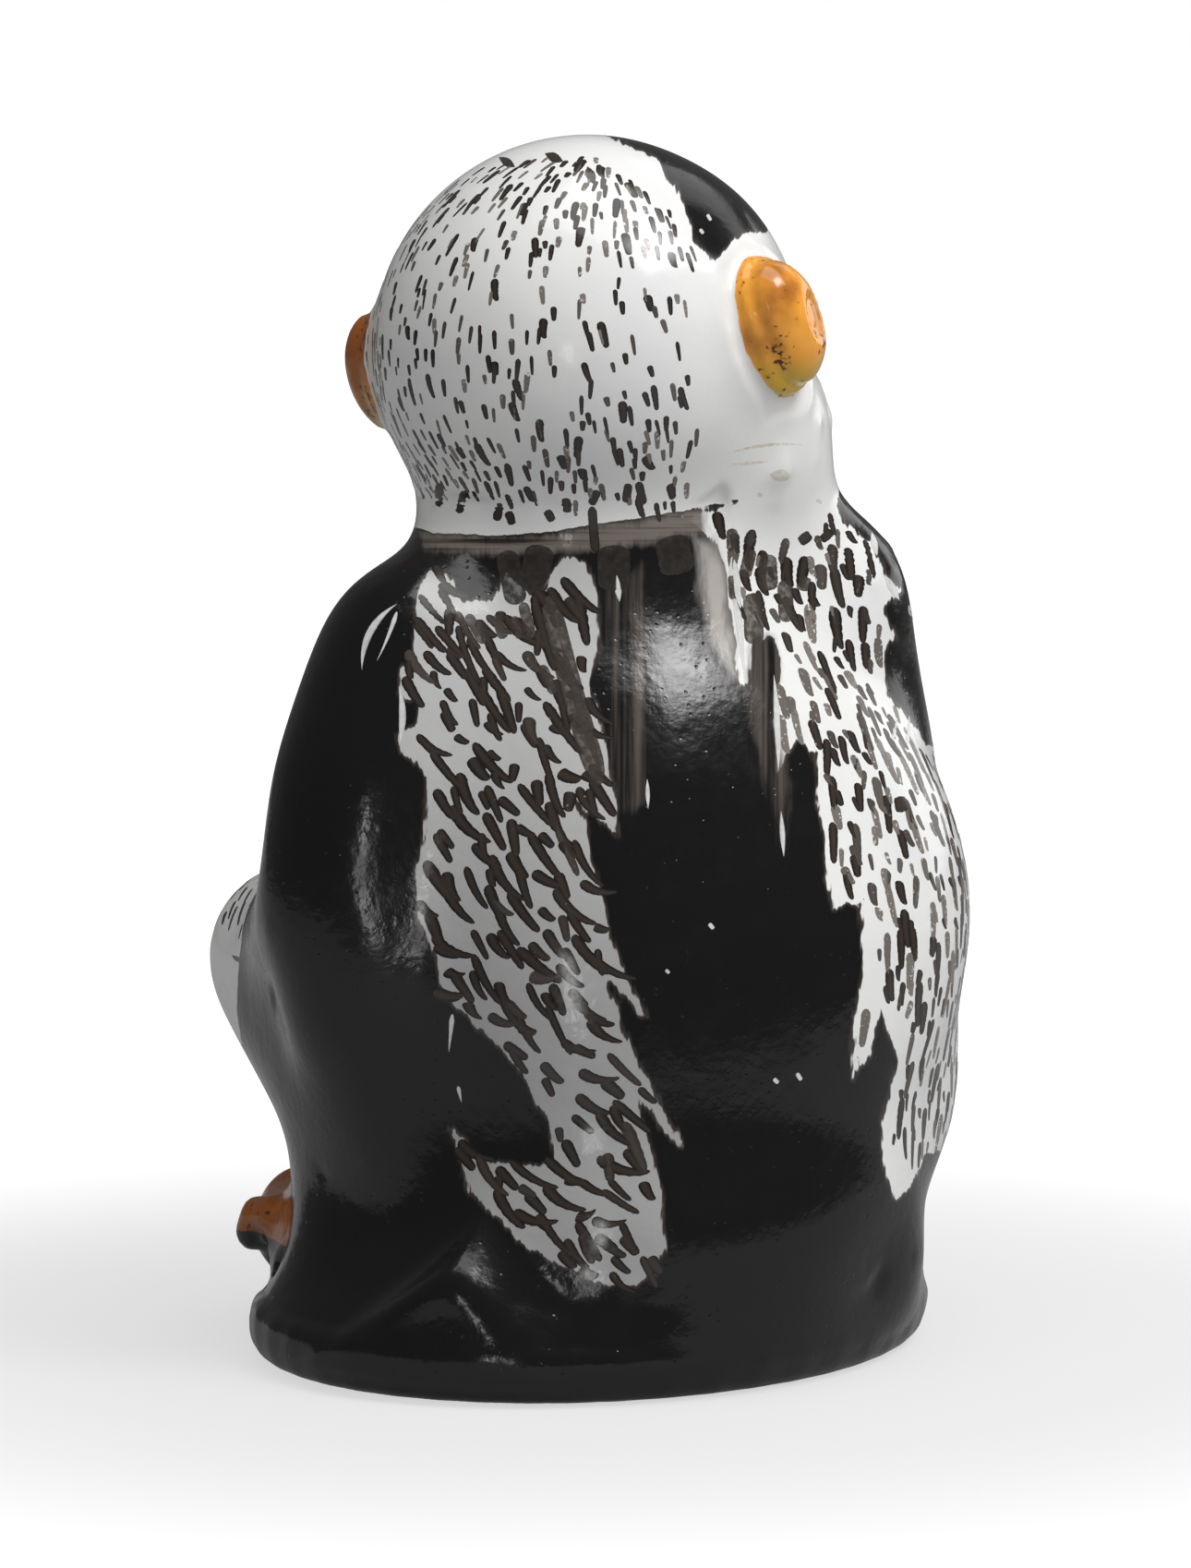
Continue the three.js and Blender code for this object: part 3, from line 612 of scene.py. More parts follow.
scorch = sums(glaze, "ADD", noise(glaze, place, SCORCH_SCALE, FINE_DETAIL), burnt_and_shaded)
amber = blend(glaze, ramp(glaze, scorch, *SCORCH_EDGE), AMBER_GLAZE, AMBER_BURNT_AND_SHADED)
thinner = sums(glaze, "ADD", layer(glaze, "yellow"), TINT_SHIFT)
yellow = sums(glaze, "MULTIPLY_ADD", tint, TINT_STEP, thinner)
amber = blend(glaze, ramp(glaze, yellow, *YELLOW_EDGE), amber, YELLOW_GLAZE)
speck = noise(glaze, place, SPECK_SCALE, FINE_DETAIL)
speck_patch = noise(glaze, place, SPECK_PATCH_SCALE)
speck_share = sums(glaze, "MULTIPLY_ADD", speck_patch, SPECK_PATCH_STEP, speck)
amber = blend(glaze, ramp(glaze, speck_share, *SPECK_EDGE), amber, RUST_SPECK)
painted = blend(glaze, ramp(glaze, amber_depth, *AMBER_EDGE), painted, amber)
bare = ramp(glaze, layer(glaze, "bare"), *BARE_EDGE)
grit = mottled(glaze, place, GRIT_SCALE, GRIT_EDGE, SOFT_DETAIL)
biscuit = blend(glaze, grit, BISCUIT, WASH_GREY)
painted = blend(glaze, bare, painted, biscuit)

# Gloss: softly wavy, with fine peel all over and pinholes where bubbles burst in the black.
GLOSS_SCALE = 350.0
GLOSS_RANGE = (0.3, 0.8, 0.13, 0.22)
BARE_ROUGHNESS = 0.75
RIPPLE_SCALE = 150.0
RIPPLE_HEIGHT = 1.1
PEEL_SCALE = 900.0
PEEL_HEIGHT = 0.42
PINHOLE_SCALE = 950.0
PINHOLE_EDGE = (0.04, 0.20)
PINHOLE_CHANCE = (0.50, 0.54)
PINHOLE_DEPTH = 0.28
gloss = mottled(glaze, place, GLOSS_SCALE, GLOSS_RANGE)
rough = sums(glaze, "MULTIPLY_ADD", bare, BARE_ROUGHNESS, gloss)
ripple = noise(glaze, place, RIPPLE_SCALE)
peel = noise(glaze, place, PEEL_SCALE, FINE_DETAIL)
pin_cell = wire(glaze, "ShaderNodeTexVoronoi", None, Vector=place, Scale=PINHOLE_SCALE)
pin = ramp(glaze, pin_cell.outputs["Distance"], *PINHOLE_EDGE)
pin_chance = wire(glaze, "ShaderNodeSeparateColor", None, Color=pin_cell.outputs["Color"]).outputs[0]
rare = ramp(glaze, pin_chance, *PINHOLE_CHANCE)
in_black = sums(glaze, "MULTIPLY", rare, covered)
pinhole = sums(glaze, "MULTIPLY", sums(glaze, "SUBTRACT", pin, 1.0), in_black)
relief = sums(glaze, "MULTIPLY_ADD", peel, PEEL_HEIGHT, sums(glaze, "MULTIPLY", pinhole, PINHOLE_DEPTH))
relief = sums(glaze, "MULTIPLY_ADD", ripple, RIPPLE_HEIGHT, relief)
wire(glaze, "NodeGroupOutput", None, Colour=painted, Roughness=rough, Height=relief)

GLAZE_INDEX = 1.52
GLAZE_WAVE = 0.00012


def new_material(name):
    """A new material, its node tree and its shader."""
    material = bpy.data.materials.new(name)
    material.use_nodes = True
    return material, material.node_tree, material.node_tree.nodes["Principled BSDF"]


def glazed(name, ragged_mm, wave):
    """A fired glaze material: the painted colours under a clear, slightly wavy gloss."""
    material, tree, shader = new_material(name)
    look = wire(tree, "ShaderNodeGroup", {"node_tree": glaze}, Ragged=ragged_mm).outputs
    bump = wire(tree, "ShaderNodeBump", None, Height=look["Height"], Strength=wave, Distance=GLAZE_WAVE)
    feed(tree, shader, IOR=GLAZE_INDEX, Base_Color=look["Colour"], Roughness=look["Roughness"],
         Normal=bump.outputs[0])
    return material


RIM_SINK = 0.002
RIM_RINGS = 5


def sunk(places):
    """Places moved into the body until they lie well below the skin."""
    for _ in range(SETTLING_STEPS):
        height = sampled(skin_field, places)
        places = places - normals_at(places) * np.maximum(height + RIM_SINK, 0.0)[:, None]
    return places


def rim_caps(quads):
    """Points, quads and triangles that close a casting's open rims below the skin of its neighbours."""
    edges = np.concatenate([quads[:, [k, (k + 1) % 4]] for k in range(4)])
    count = len(skin_points)
    open_edges = edges[~np.isin(edges[:, 0] * count + edges[:, 1], edges[:, 1] * count + edges[:, 0])]
    rim_of = {}

    def first_of(point):
        """The point that stands for the whole rim on which this point lies."""
        while rim_of.setdefault(point, point) != point:
            point = rim_of[point]
        return point

    for start, end in open_edges.tolist():
        rim_of[first_of(start)] = first_of(end)
    rims = np.array([first_of(start) for start in open_edges[:, 0].tolist()], dtype=int)
    points, ring_quads, fans = np.zeros((0, 3)), [], []
    for rim in np.unique(rims):
        outer, around = np.unique(open_edges[rims == rim], return_inverse=True)
        around = around.reshape(-1, 2)
        edge = skin_points[outer]
        middle = sunk(edge.mean(axis=0)[None])
        for ring in range(1, RIM_RINGS):
            inner = count + len(points) + np.arange(len(outer))
            points = np.concatenate([points, sunk(edge + (middle - edge) * (ring / RIM_RINGS))])
            first, second = around[:, 0], around[:, 1]
            ring_quads.append(np.stack([outer[second], outer[first], inner[first], inner[second]], axis=1))
            outer = inner
        fans.extend((outer[second], outer[first], count + len(points)) for first, second in around)
        points = np.concatenate([points, middle])
    return points, ring_quads, fans


def keep_on(mesh, **kept):
    """Values or directions stored at a mesh's points, each under its name."""
    for key, values in kept.items():
        kind, part = ("FLOAT", "value") if values.ndim == 1 else ("FLOAT_VECTOR", "vector")
        data = mesh.attributes.new(key, kind, "POINT").data
        data.foreach_set(part, values.astype(np.float32).ravel())


def fired(name, material):
    """One casting's share of the painted and glazed skin, closed where it meets its neighbours."""
    quads = skin_quads[quad_owner == casting_names.index(name)]
    cap_points, cap_quads, fans = rim_caps(quads)
    quads = np.concatenate([quads] + cap_quads)
    points = np.concatenate([skin_points, cap_points])
    normals = np.concatenate([skin_normals, normals_at(cap_points)])
    corners = np.concatenate([quads.ravel(), np.array(fans, dtype=int).ravel()])
    used, packed = np.unique(corners, return_inverse=True)
    quad_corners = packed[:quads.size].reshape(-1, 4).tolist()
    fan_corners = packed[quads.size:].reshape(-1, 3).tolist()
    mesh = bpy.data.meshes.new(name + "_glazed")
    mesh.from_pydata(points[used], [], quad_corners + fan_corners)
    own = np.minimum(used, len(skin_points) - 1)
    flat_place = np.column_stack([skin_pixels[own] / PIXELS_PER_MM, np.zeros(len(own))])
    keep_on(mesh, **{key: values[own] for key, values in paint.items()}, brush_place=flat_place)
    mesh.normals_split_custom_set_from_vertices(normals[used])
    mesh.materials.append(material)
    piece = set_down(name + "_glazed", mesh)
    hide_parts(name)
    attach(piece, "root")


# Plinth
# A low oval slab with a recess and a vent hole below, cast on its own and stuck under the figure.
# It is glazed black but for its underside, which is wiped clean so that it doesn't stick to the kiln shelf.
BARE_HEIGHT = 0.15
UNDERSIDE_HEIGHT = 2.0
UNDERSIDE_LEAN = 0.93
LEAN_MM = 4.0
underside_by = np.minimum(UNDERSIDE_HEIGHT - skin_mm[:, 2], (-skin_normals[:, 2] - UNDERSIDE_LEAN) * LEAN_MM)
paint["bare"] = np.maximum(BARE_HEIGHT - skin_mm[:, 2], underside_by)
black_glaze = glazed("black_glaze_over_porcelain", ragged_mm=0.6, wave=0.9)
fired("plinth", black_glaze)

# Trunk
# The hollow body casting, brushed black with a white patch left open on each flank and a bib in front.
# Beside the spine and round the neck the black was thinned with water and drawn out by the brush; right of
# the spine this thin veil is made pale, partly as painted highlight.
LEFT_FLANK_WHITE = [
    (450, 650), (462, 618), (484, 620), (500, 652), (534, 650), (548, 616), (566, 640), (582, 650),
    (598, 618), (616, 602), (632, 612), (647, 650), (648, 705), (636, 742), (652, 790), (662, 850),
    (668, 908), (650, 886), (618, 862), (634, 892), (645, 950), (656, 1000), (672, 1045), (697, 1100),
    (670, 1068), (656, 1064), (676, 1120), (697, 1162), (716, 1200), (735, 1240), (712, 1212),
    (692, 1186), (690, 1205), (706, 1250), (717, 1300), (719, 1350), (708, 1380), (680, 1393),
    (650, 1388), (600, 1366), (556, 1338), (510, 1290), (488, 1222), (520, 1256), (560, 1262),
    (602, 1262), (596, 1216), (574, 1180), (552, 1146), (506, 1100), (484, 1082), (474, 1036),
    (456, 1000), (451, 940), (462, 880), (464, 840), (436, 812), (434, 796), (452, 784), (452, 762),
    (431, 752), (432, 724), (450, 716)]
RIGHT_FLANK_WHITE = [
    (740, 560), (770, 584), (787, 612), (792, 660), (797, 712), (803, 746), (812, 736), (813, 690),
    (838, 690), (846, 716), (838, 780), (843, 836), (862, 800), (884, 815), (886, 860), (896, 930),
    (902, 986), (934, 974), (936, 1040), (928, 1110), (921, 1172), (941, 1140), (954, 1090), (974, 1150),
    (957, 1212), (957, 1252), (970, 1299), (988, 1286), (1004, 1250), (1110, 1220), (1110, 812),
    (1002, 806), (978, 772), (960, 752), (957, 705), (966, 690), (955, 660), (974, 640), (954, 615),
    (946, 590), (915, 565), (898, 540), (850, 530)]
NECK_BAND = [
    (452, 572), (545, 582), (600, 577), (660, 567), (764, 548), (764, 576), (704, 590), (640, 598),
    (540, 602), (460, 596)]
LEFT_SPINE_WASH = [
    (650, 640), (696, 610), (706, 760), (700, 872), (668, 884), (656, 800)]
RIGHT_SPINE_WASH = [
    (812, 680), (838, 690), (846, 716), (840, 780), (858, 850), (850, 925), (832, 870), (806, 760)]
# Right of the spine a thin grey veil, painted pale: partly thinned black, partly painted highlight.
SPINE_VEIL_AND_HIGHLIGHT = [
    (752, 582), (772, 584), (788, 612), (792, 660), (798, 704), (801, 738), (790, 734), (770, 696),
    (756, 640)]
WRAP_PAST_EDGE = 0.35
WRAP_MM = 8.0
WELL_SEEN = 0.1
# The left flank's painted shade: where it sets in from the patch's edge, its least share, and the rows over
# which it deepens to full.
PAINTED_SHADE_EDGE = (-1.5, -0.5)
PAINTED_SHADE_LEAST = 0.68
PAINTED_SHADE_DOWN = (700.0, 1150.0)
BIB_HALF_WIDTH = 13.0
BIB_HALF_HEIGHT = 27.0
BIB_HEIGHT = 48.0
BIB_ACROSS = 1.0


def inside_by(outline):
    """How far inside an outline each point is seen, in millimetres on the figure; outside is negative."""
    outline = np.array(outline, dtype=float)
    nearest_square = np.full(len(skin_pixels), np.inf)
    crossings = np.zeros(len(skin_pixels), dtype=int)
    for start, end in zip(outline, np.roll(outline, -1, axis=0)):
        along = end - start
        share = np.clip(((skin_pixels - start) @ along) / (along @ along), 0.0, 1.0)
        gap = skin_pixels - start - share[:, None] * along
        nearest_square = np.minimum(nearest_square, (gap * gap).sum(axis=1))
        spans = (start[1] > down_px) != (end[1] > down_px)
        rise = along[1] if along[1] else LEAST_LENGTH
        meets = start[0] + (down_px - start[1]) / rise * along[0]
        crossings += spans & (across_px < meets)
    return np.where(crossings % 2 == 1, 1.0, -1.0) * np.sqrt(nearest_square) / PIXELS_PER_MM


seen_by = (facing + WRAP_PAST_EDGE) * WRAP_MM
left_flank_by = np.minimum(inside_by(LEFT_FLANK_WHITE), seen_by)
right_flank_by = np.minimum(inside_by(RIGHT_FLANK_WHITE), seen_by)
bib_by = BIB_HALF_WIDTH * (1.0 - np.hypot(
    (skin_mm[:, 0] - BIB_ACROSS) / BIB_HALF_WIDTH, (skin_mm[:, 2] - BIB_HEIGHT) / BIB_HALF_HEIGHT))
bib_by = np.minimum(bib_by, -skin_normals[:, 1] * WRAP_MM)
bib_by = np.minimum(bib_by, belongs_by("trunk_shell") * COAT_SPREAD)
body_white = np.maximum.reduce([left_flank_by, right_flank_by, bib_by])
plinth_by = belongs_by("plinth")
body_white = np.minimum(body_white, -plinth_by * COAT_SPREAD)
paint["black"] = np.minimum(paint["black"], -body_white)
# Painted shade: the white of the left flank is greyed, and more so towards the bottom, as that side is turned
# from the light.
painted_shade_down_the_flank = PAINTED_SHADE_LEAST + (1.0 - PAINTED_SHADE_LEAST) * eased(down_px, *PAINTED_SHADE_DOWN)
paint["painted_shade"] = eased(left_flank_by, *PAINTED_SHADE_EDGE) * painted_shade_down_the_flank
seen_well = np.minimum((facing - WELL_SEEN) * WRAP_MM, -white_by)
spine_by = np.maximum(inside_by(LEFT_SPINE_WASH), inside_by(RIGHT_SPINE_WASH))
paint["wash"] = np.minimum(spine_by, seen_well)
paint["band"] = np.minimum(inside_by(NECK_BAND), seen_well)
# Painted highlight: the veil right of the spine is pale enough to carry part of the highlight on the back.
paint["veil_and_highlight"] = np.minimum(inside_by(SPINE_VEIL_AND_HIGHLIGHT), seen_well)
fired("trunk_shell", black_glaze)

# Arms
# Two solid, bent castings, stuck on with slip at the shoulders and along the flanks.
# They are brushed black, and the left elbow sagged while the clay was wet.
for name in ("left_arm", "right_arm"):
    fired(name, black_glaze)

# Legs
# Two solid castings of a leg drawn up and folded at the knee, stuck to the trunk and the plinth.
# The tops of the knees are left white, and the rest is black.
KNEE_REACH = 12.5
KNEE_LOW = 28.0
KNEES = {"left_leg": (24.6, -20.7, 35.5), "right_leg": (-26.8, -20.7, 35.5)}
knee_by = np.full(len(skin_mm), -FEATHER_MM)
for name, middle in KNEES.items():
    from_knee = np.linalg.norm(skin_mm - np.array(middle), axis=1)
    reach = np.minimum(KNEE_REACH - from_knee, skin_mm[:, 2] - KNEE_LOW)
    knee_by = np.maximum(knee_by, np.minimum(reach, belongs_by(name) * COAT_SPREAD))
paint["black"] = np.minimum(paint["black"], -knee_by)
for name in KNEES:
    fired(name, black_glaze)

# Feet
# Two flat, solid castings, stuck under the legs and on to the plinth.
# Heels and soles are black, and the tops of the toes are amber.
TOES_FROM = -6.0
TOE_FADE = 0.6
AMBER_LOW = 9.2
feet_by = belongs_by("left_foot", "right_foot")
toe_by = np.minimum(feet_by, (TOES_FROM - skin_mm[:, 1]) * TOE_FADE)
paint["amber"] = np.maximum(paint["amber"], np.minimum(toe_by, skin_mm[:, 2] - AMBER_LOW))
paint["burnt_and_shaded"] = np.where(feet_by > 0, 1.0, paint["burnt_and_shaded"])
for name in ("left_foot", "right_foot"):
    fired(name, black_glaze)

# Hands
# Two small, solid castings, stuck to the ends of the arms with slip.
# They are brushed with amber enamel.
amber_glaze = glazed("amber_glaze_over_porcelain", ragged_mm=0.6, wave=0.6)
for name in ("left_hand", "right_hand"):
    fired(name, amber_glaze)

# Head
# A hollow casting with the face pressed into its mould. White, with a black crown brushed over the top,
# a warm face, amber eyes with black pupils, and nostrils and mouth drawn with a fine brush.
CROWN_BLACK = [
    (640, 120), (668, 154), (700, 165), (714, 178), (730, 200), (742, 228), (754, 260), (768, 285),
    (780, 278), (793, 262), (807, 252), (850, 250), (850, 120)]
# The head's middle in millimetres, and the ways that it faces; the face's sizes are millimetres from there.
HEAD_MIDDLE = np.array([2.3, -0.2, 95.7])
HEAD_RADIUS_MM = 20.7
HEAD_LEFT = np.array([0.663, -0.736, -0.139])
HEAD_UP = np.array([0.093, -0.103, 0.990])
HEAD_BACK = np.cross(HEAD_UP, HEAD_LEFT)
CROWN_AIM = np.array([-0.50, -0.28, 0.82])
CROWN_REACH = math.radians(40.0)
CROWN_TURNS_AWAY = (-0.1, 0.1)
FACE_HALF_WIDTH = 13.0
FACE_HALF_HEIGHT = 14.5
FACE_LOW = 3.5
FACE_FROM = 4.0
FINE_BRUSH = 4.0
EYE_ACROSS = 6.5
EYE_HEIGHT = 1.2
EYE_RADIUS = 2.9
EYE_FRONT = 17.0
IRIS_RADIUS = 2.0
PUPIL_RADIUS = 1.1
LID_LINE = 0.30
NOSTRIL_ACROSS = 2.3
NOSTRIL_HEIGHT = -4.0
NOSTRIL_RADIUS = 0.75
MOUTH_HALF_WIDTH = 9.2
MOUTH_HEIGHT = -9.9
MOUTH_CURVE = 1.3
MOUTH_LINE = 0.35
from_head = skin_mm - HEAD_MIDDLE
head_way = from_head / np.linalg.norm(from_head, axis=1, keepdims=True)
crown_turn = np.arccos(np.clip(head_way @ (CROWN_AIM / np.linalg.norm(CROWN_AIM)), -1.0, 1.0))
crown_round = (CROWN_REACH - crown_turn) * HEAD_RADIUS_MM
crown_by = crown_round + (inside_by(CROWN_BLACK) - crown_round) * eased(facing, *CROWN_TURNS_AWAY)
crown_by = np.minimum(crown_by, head_by * COAT_SPREAD)
face_x, face_y, face_z = from_head @ HEAD_LEFT, from_head @ HEAD_BACK, from_head @ HEAD_UP
from_face = np.hypot(face_x / FACE_HALF_WIDTH, (face_z + FACE_LOW) / FACE_HALF_HEIGHT)
flesh_by = FACE_HALF_WIDTH * (1.0 - from_face)
flesh_by = np.minimum(flesh_by, -face_y - FACE_FROM)
from_eye = np.hypot(np.abs(face_x) - EYE_ACROSS, face_z - EYE_HEIGHT)
from_nostril = np.hypot(np.abs(face_x) - NOSTRIL_ACROSS, face_z - NOSTRIL_HEIGHT)
mouth_curve = MOUTH_HEIGHT + MOUTH_CURVE * (face_x / MOUTH_HALF_WIDTH) ** 2
from_mouth = np.maximum(np.abs(face_z - mouth_curve), np.abs(face_x) - MOUTH_HALF_WIDTH)
drawn_by = np.maximum.reduce([
    PUPIL_RADIUS - from_eye, LID_LINE - np.abs(from_eye - EYE_RADIUS), NOSTRIL_RADIUS - from_nostril,
    MOUTH_LINE - from_mouth])
on_face = (face_y < -EYE_FRONT) | ((face_y < -FACE_FROM) & (from_mouth < MOUTH_HALF_WIDTH))
drawn_by = np.where(on_face & (head_by > 0), drawn_by, -FEATHER_MM) * FINE_BRUSH
iris_by = np.minimum(IRIS_RADIUS - from_eye, -drawn_by / FINE_BRUSH)
iris_by = np.where((face_y < -EYE_FRONT) & (head_by > 0), iris_by, -FEATHER_MM) * FINE_BRUSH
paint["black"] = np.maximum.reduce([paint["black"], crown_by, drawn_by])
paint["amber"] = np.maximum(paint["amber"], iris_by)
round_eyes = (from_eye - EYE_RADIUS) * FINE_BRUSH
paint["flesh"] = np.where(head_by > 0, np.minimum(flesh_by, round_eyes), -FEATHER_MM)
white_glaze = glazed("white_glaze_over_porcelain", ragged_mm=0.6, wave=0.5)
fired("head_shell", white_glaze)

# Ears
# Two oval pads of clay, dished in front and stuck to the sides of the head.
# They are brushed with amber that ran down, so that it is yellow at the low end. The left ear is darkened
# with painted shade.
EAR_LOW_END = 2.5
EAR_FADE = 4.0
EAR_REACH = 10.0
# How much painted shade darkens each ear's amber.
EAR_PAINTED_SHADE = {"left_ear": 0.5, "right_ear": 0.0}
for name in ("left_ear", "right_ear"):
    low_corner, high_corner = np.array(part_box(name)) * MM_PER_METRE
    on_ear = np.abs(skin_mm - (low_corner + high_corner) / 2).max(axis=1) < EAR_REACH
    ran_down = (low_corner[2] + EAR_LOW_END - skin_mm[:, 2]) / EAR_FADE
    paint["yellow"] = np.where(on_ear, ran_down, paint["yellow"])
    paint["burnt_and_shaded"] = np.where(on_ear, EAR_PAINTED_SHADE[name], paint["burnt_and_shaded"])
    fired(name, amber_glaze)

# Fur strokes
# Short commas of black enamel, each one press of a fine brush, over the white glaze.
# They stand a hair proud of the glaze and follow the fur: down the head, slanting on the flanks.
STROKE_ROWS = (0.02, 0.09, 0.2, 0.38, 0.56, 0.74, 0.9, 0.98)
STROKE_HOOKS = (0.0, 0.35, 0.8, 1.4)
ROUND_TOP = 0.2
TAIL_THINNING = 0.55
TAIL_END = 0.9
TAIL_POWER = 1.6
HOOK_POWER = 2.5
STROKE_EDGE_RISE = -0.15
# The points round one row of a stroke: how far across and how high each of them lies.
STROKE_SIDES = ((-1.0, STROKE_EDGE_RISE), (0.0, 1.0), (1.0, STROKE_EDGE_RISE), (0.0, -1.0))


def pillow_faces(rows, sides):
    """Faces of a closed long pillow: a point, rows of points round it, and a last point."""
    last = 1 + rows * sides
    faces = []
    for side in range(sides):
        following = (side + 1) % sides
        faces.append((0, 1 + following, 1 + side))
        faces.append((last, last - sides + side, last - sides + following))
        for row in range(rows - 1):
            first = 1 + sides * row
            faces.append((first + side, first + following, first + sides + following, first + sides + side))
    return faces


def stroke_shape(name, hook):
    """One comma of enamel, one unit long and wide: round where the brush lands, drawn out where it lifts."""
    points = [(0.0, -0.5, 0.0)]
    rises = [STROKE_EDGE_RISE]
    for share in STROKE_ROWS:
        half = 0.5 * math.sqrt(1.0 - max(0.0, 1.0 - share / ROUND_TOP) ** 2)
        half *= 1.0 - TAIL_THINNING * max(0.0, share - ROUND_TOP) ** TAIL_POWER
        half *= math.sqrt(1.0 - max(0.0, (share - TAIL_END) / (1.0 - TAIL_END)) ** 2)
        middle = -hook * share ** HOOK_POWER
        for across, rise in STROKE_SIDES:
            points.append((middle + across * half, share - 0.5, 0.0))
            rises.append(rise)
    points.append((-hook, 0.5, 0.0))
    rises.append(STROKE_EDGE_RISE)
    mesh = bpy.data.meshes.new(name)
    mesh.from_pydata(points, [], pillow_faces(len(STROKE_ROWS), len(STROKE_SIDES)))
    keep_on(mesh, rise=np.array(rises))
    return bpy.data.objects.new(name, mesh)


stroke_shapes = bpy.data.collections.new("stroke shapes")
for number, hook in enumerate(STROKE_HOOKS):
    stroke_shapes.objects.link(stroke_shape("stroke_shape_%d" % number, hook))

brushing = bpy.data.node_groups.new("fur strokes", "GeometryNodeTree")
STROKE_INPUTS = {
    "Geometry": ("Skin",), "String": ("Where",),
    "Float": ("Density", "Spacing", "Shortest", "Longest", "Narrowest", "Widest", "Turn", "Darkest", "Palest",
              "Thickness"),
    "Int": ("Hooks", "Seed"), "Collection": ("Shapes",), "Material": ("Enamel",)}
stroke_sockets = {}
for kind, keys in STROKE_INPUTS.items():
    for key in keys:
        socket = brushing.interface.new_socket(key, in_out="INPUT", socket_type="NodeSocket" + kind)
        stroke_sockets[key] = socket.identifier
brushing.interface.new_socket("Strokes", in_out="OUTPUT", socket_type="NodeSocketGeometry")
ask = brushing.nodes.new("NodeGroupInput").outputs
TONE_DRAW = 11.0
TURN_DRAW = 23.0
WIDTH_DRAW = 37.0
LENGTH_DRAW = 41.0


def stored(name, kind="FLOAT"):
    """A value that is stored on the skin or on a stroke."""
    return wire(brushing, "GeometryNodeInputNamedAttribute", {"data_type": kind}, Name=name).outputs[0]


def chance(low, high, draw):
    """A random value for each stroke, the same at every run."""
    each = brushing.nodes.new("GeometryNodeInputIndex").outputs[0]
    seed = sums(brushing, "ADD", ask["Seed"], draw)
    number = wire(brushing, "FunctionNodeRandomValue", {"data_type": "FLOAT"},
                  ID=each, Seed=seed, i2=low, i3=high)
    return number.outputs[1]


spread = wire(
    brushing, "GeometryNodeDistributePointsOnFaces", {"distribute_method": "POISSON"},
    Mesh=ask["Skin"], Distance_Min=ask["Spacing"], Density_Max=ask["Density"],
    Density_Factor=stored(ask["Where"]), Seed=ask["Seed"])
toned = wire(brushing, "GeometryNodeStoreNamedAttribute", {"data_type": "FLOAT", "domain": "POINT"},
             Geometry=spread.outputs["Points"], Name="tone",
             Value=chance(ask["Darkest"], ask["Palest"], TONE_DRAW))
upright = wire(brushing, "FunctionNodeAlignRotationToVector", {"axis": "Z"}, Vector=spread.outputs["Normal"])
combed = wire(brushing, "FunctionNodeAlignRotationToVector", {"axis": "Y", "pivot_axis": "Z"},
              Rotation=upright.outputs[0], Vector=stored("fur", "FLOAT_VECTOR"))
less = sums(brushing, "MULTIPLY", ask["Turn"], -1.0)
turned = wire(brushing, "ShaderNodeCombineXYZ", None, Z=chance(less, ask["Turn"], TURN_DRAW))
turning = wire(brushing, "FunctionNodeEulerToRotation", None, Euler=turned.outputs[0])
loose = wire(brushing, "FunctionNodeRotateRotation", {"rotation_space": "LOCAL"},
             Rotation=combed.outputs[0], Rotate_By=turning.outputs[0])
size = wire(brushing, "ShaderNodeCombineXYZ", None, X=chance(ask["Narrowest"], ask["Widest"], WIDTH_DRAW),
            Y=chance(ask["Shortest"], ask["Longest"], LENGTH_DRAW), Z=1.0)
shapes = wire(brushing, "GeometryNodeCollectionInfo", None, Collection=ask["Shapes"],
              Separate_Children=True, Reset_Children=True)
pick = wire(brushing, "FunctionNodeRandomValue", {"data_type": "INT"},
            Seed=ask["Seed"], i4=0, i5=ask["Hooks"])
placed = wire(brushing, "GeometryNodeInstanceOnPoints", None, Points=toned.outputs[0],
              Instance=shapes.outputs[0], Pick_Instance=True, Instance_Index=pick.outputs[2],
              Rotation=loose.outputs[0], Scale=size.outputs[0])
real = wire(brushing, "GeometryNodeRealizeInstances", None, Geometry=placed.outputs[0])
touch = wire(brushing, "GeometryNodeProximity", {"target_element": "FACES"}, i0=ask["Skin"])
lean = wire(brushing, "GeometryNodeSampleNearestSurface", {"data_type": "FLOAT_VECTOR"},
            Mesh=ask["Skin"], Value=stored("outward", "FLOAT_VECTOR"))
lift = sums(brushing, "MULTIPLY", stored("rise"), ask["Thickness"])
raised = wire(brushing, "ShaderNodeVectorMath", {"operation": "SCALE"}, i0=lean.outputs[0], Scale=lift)
settled = wire(brushing, "ShaderNodeVectorMath", {"operation": "ADD"},
               i0=touch.outputs["Position"], i1=raised.outputs[0])
laid = wire(brushing, "GeometryNodeSetPosition", None, Geometry=real.outputs[0], Position=settled.outputs[0])
inked = wire(brushing, "GeometryNodeSetMaterial", None, Geometry=laid.outputs[0], Material=ask["Enamel"])
wire(brushing, "NodeGroupOutput", None, Strokes=inked.outputs[0])

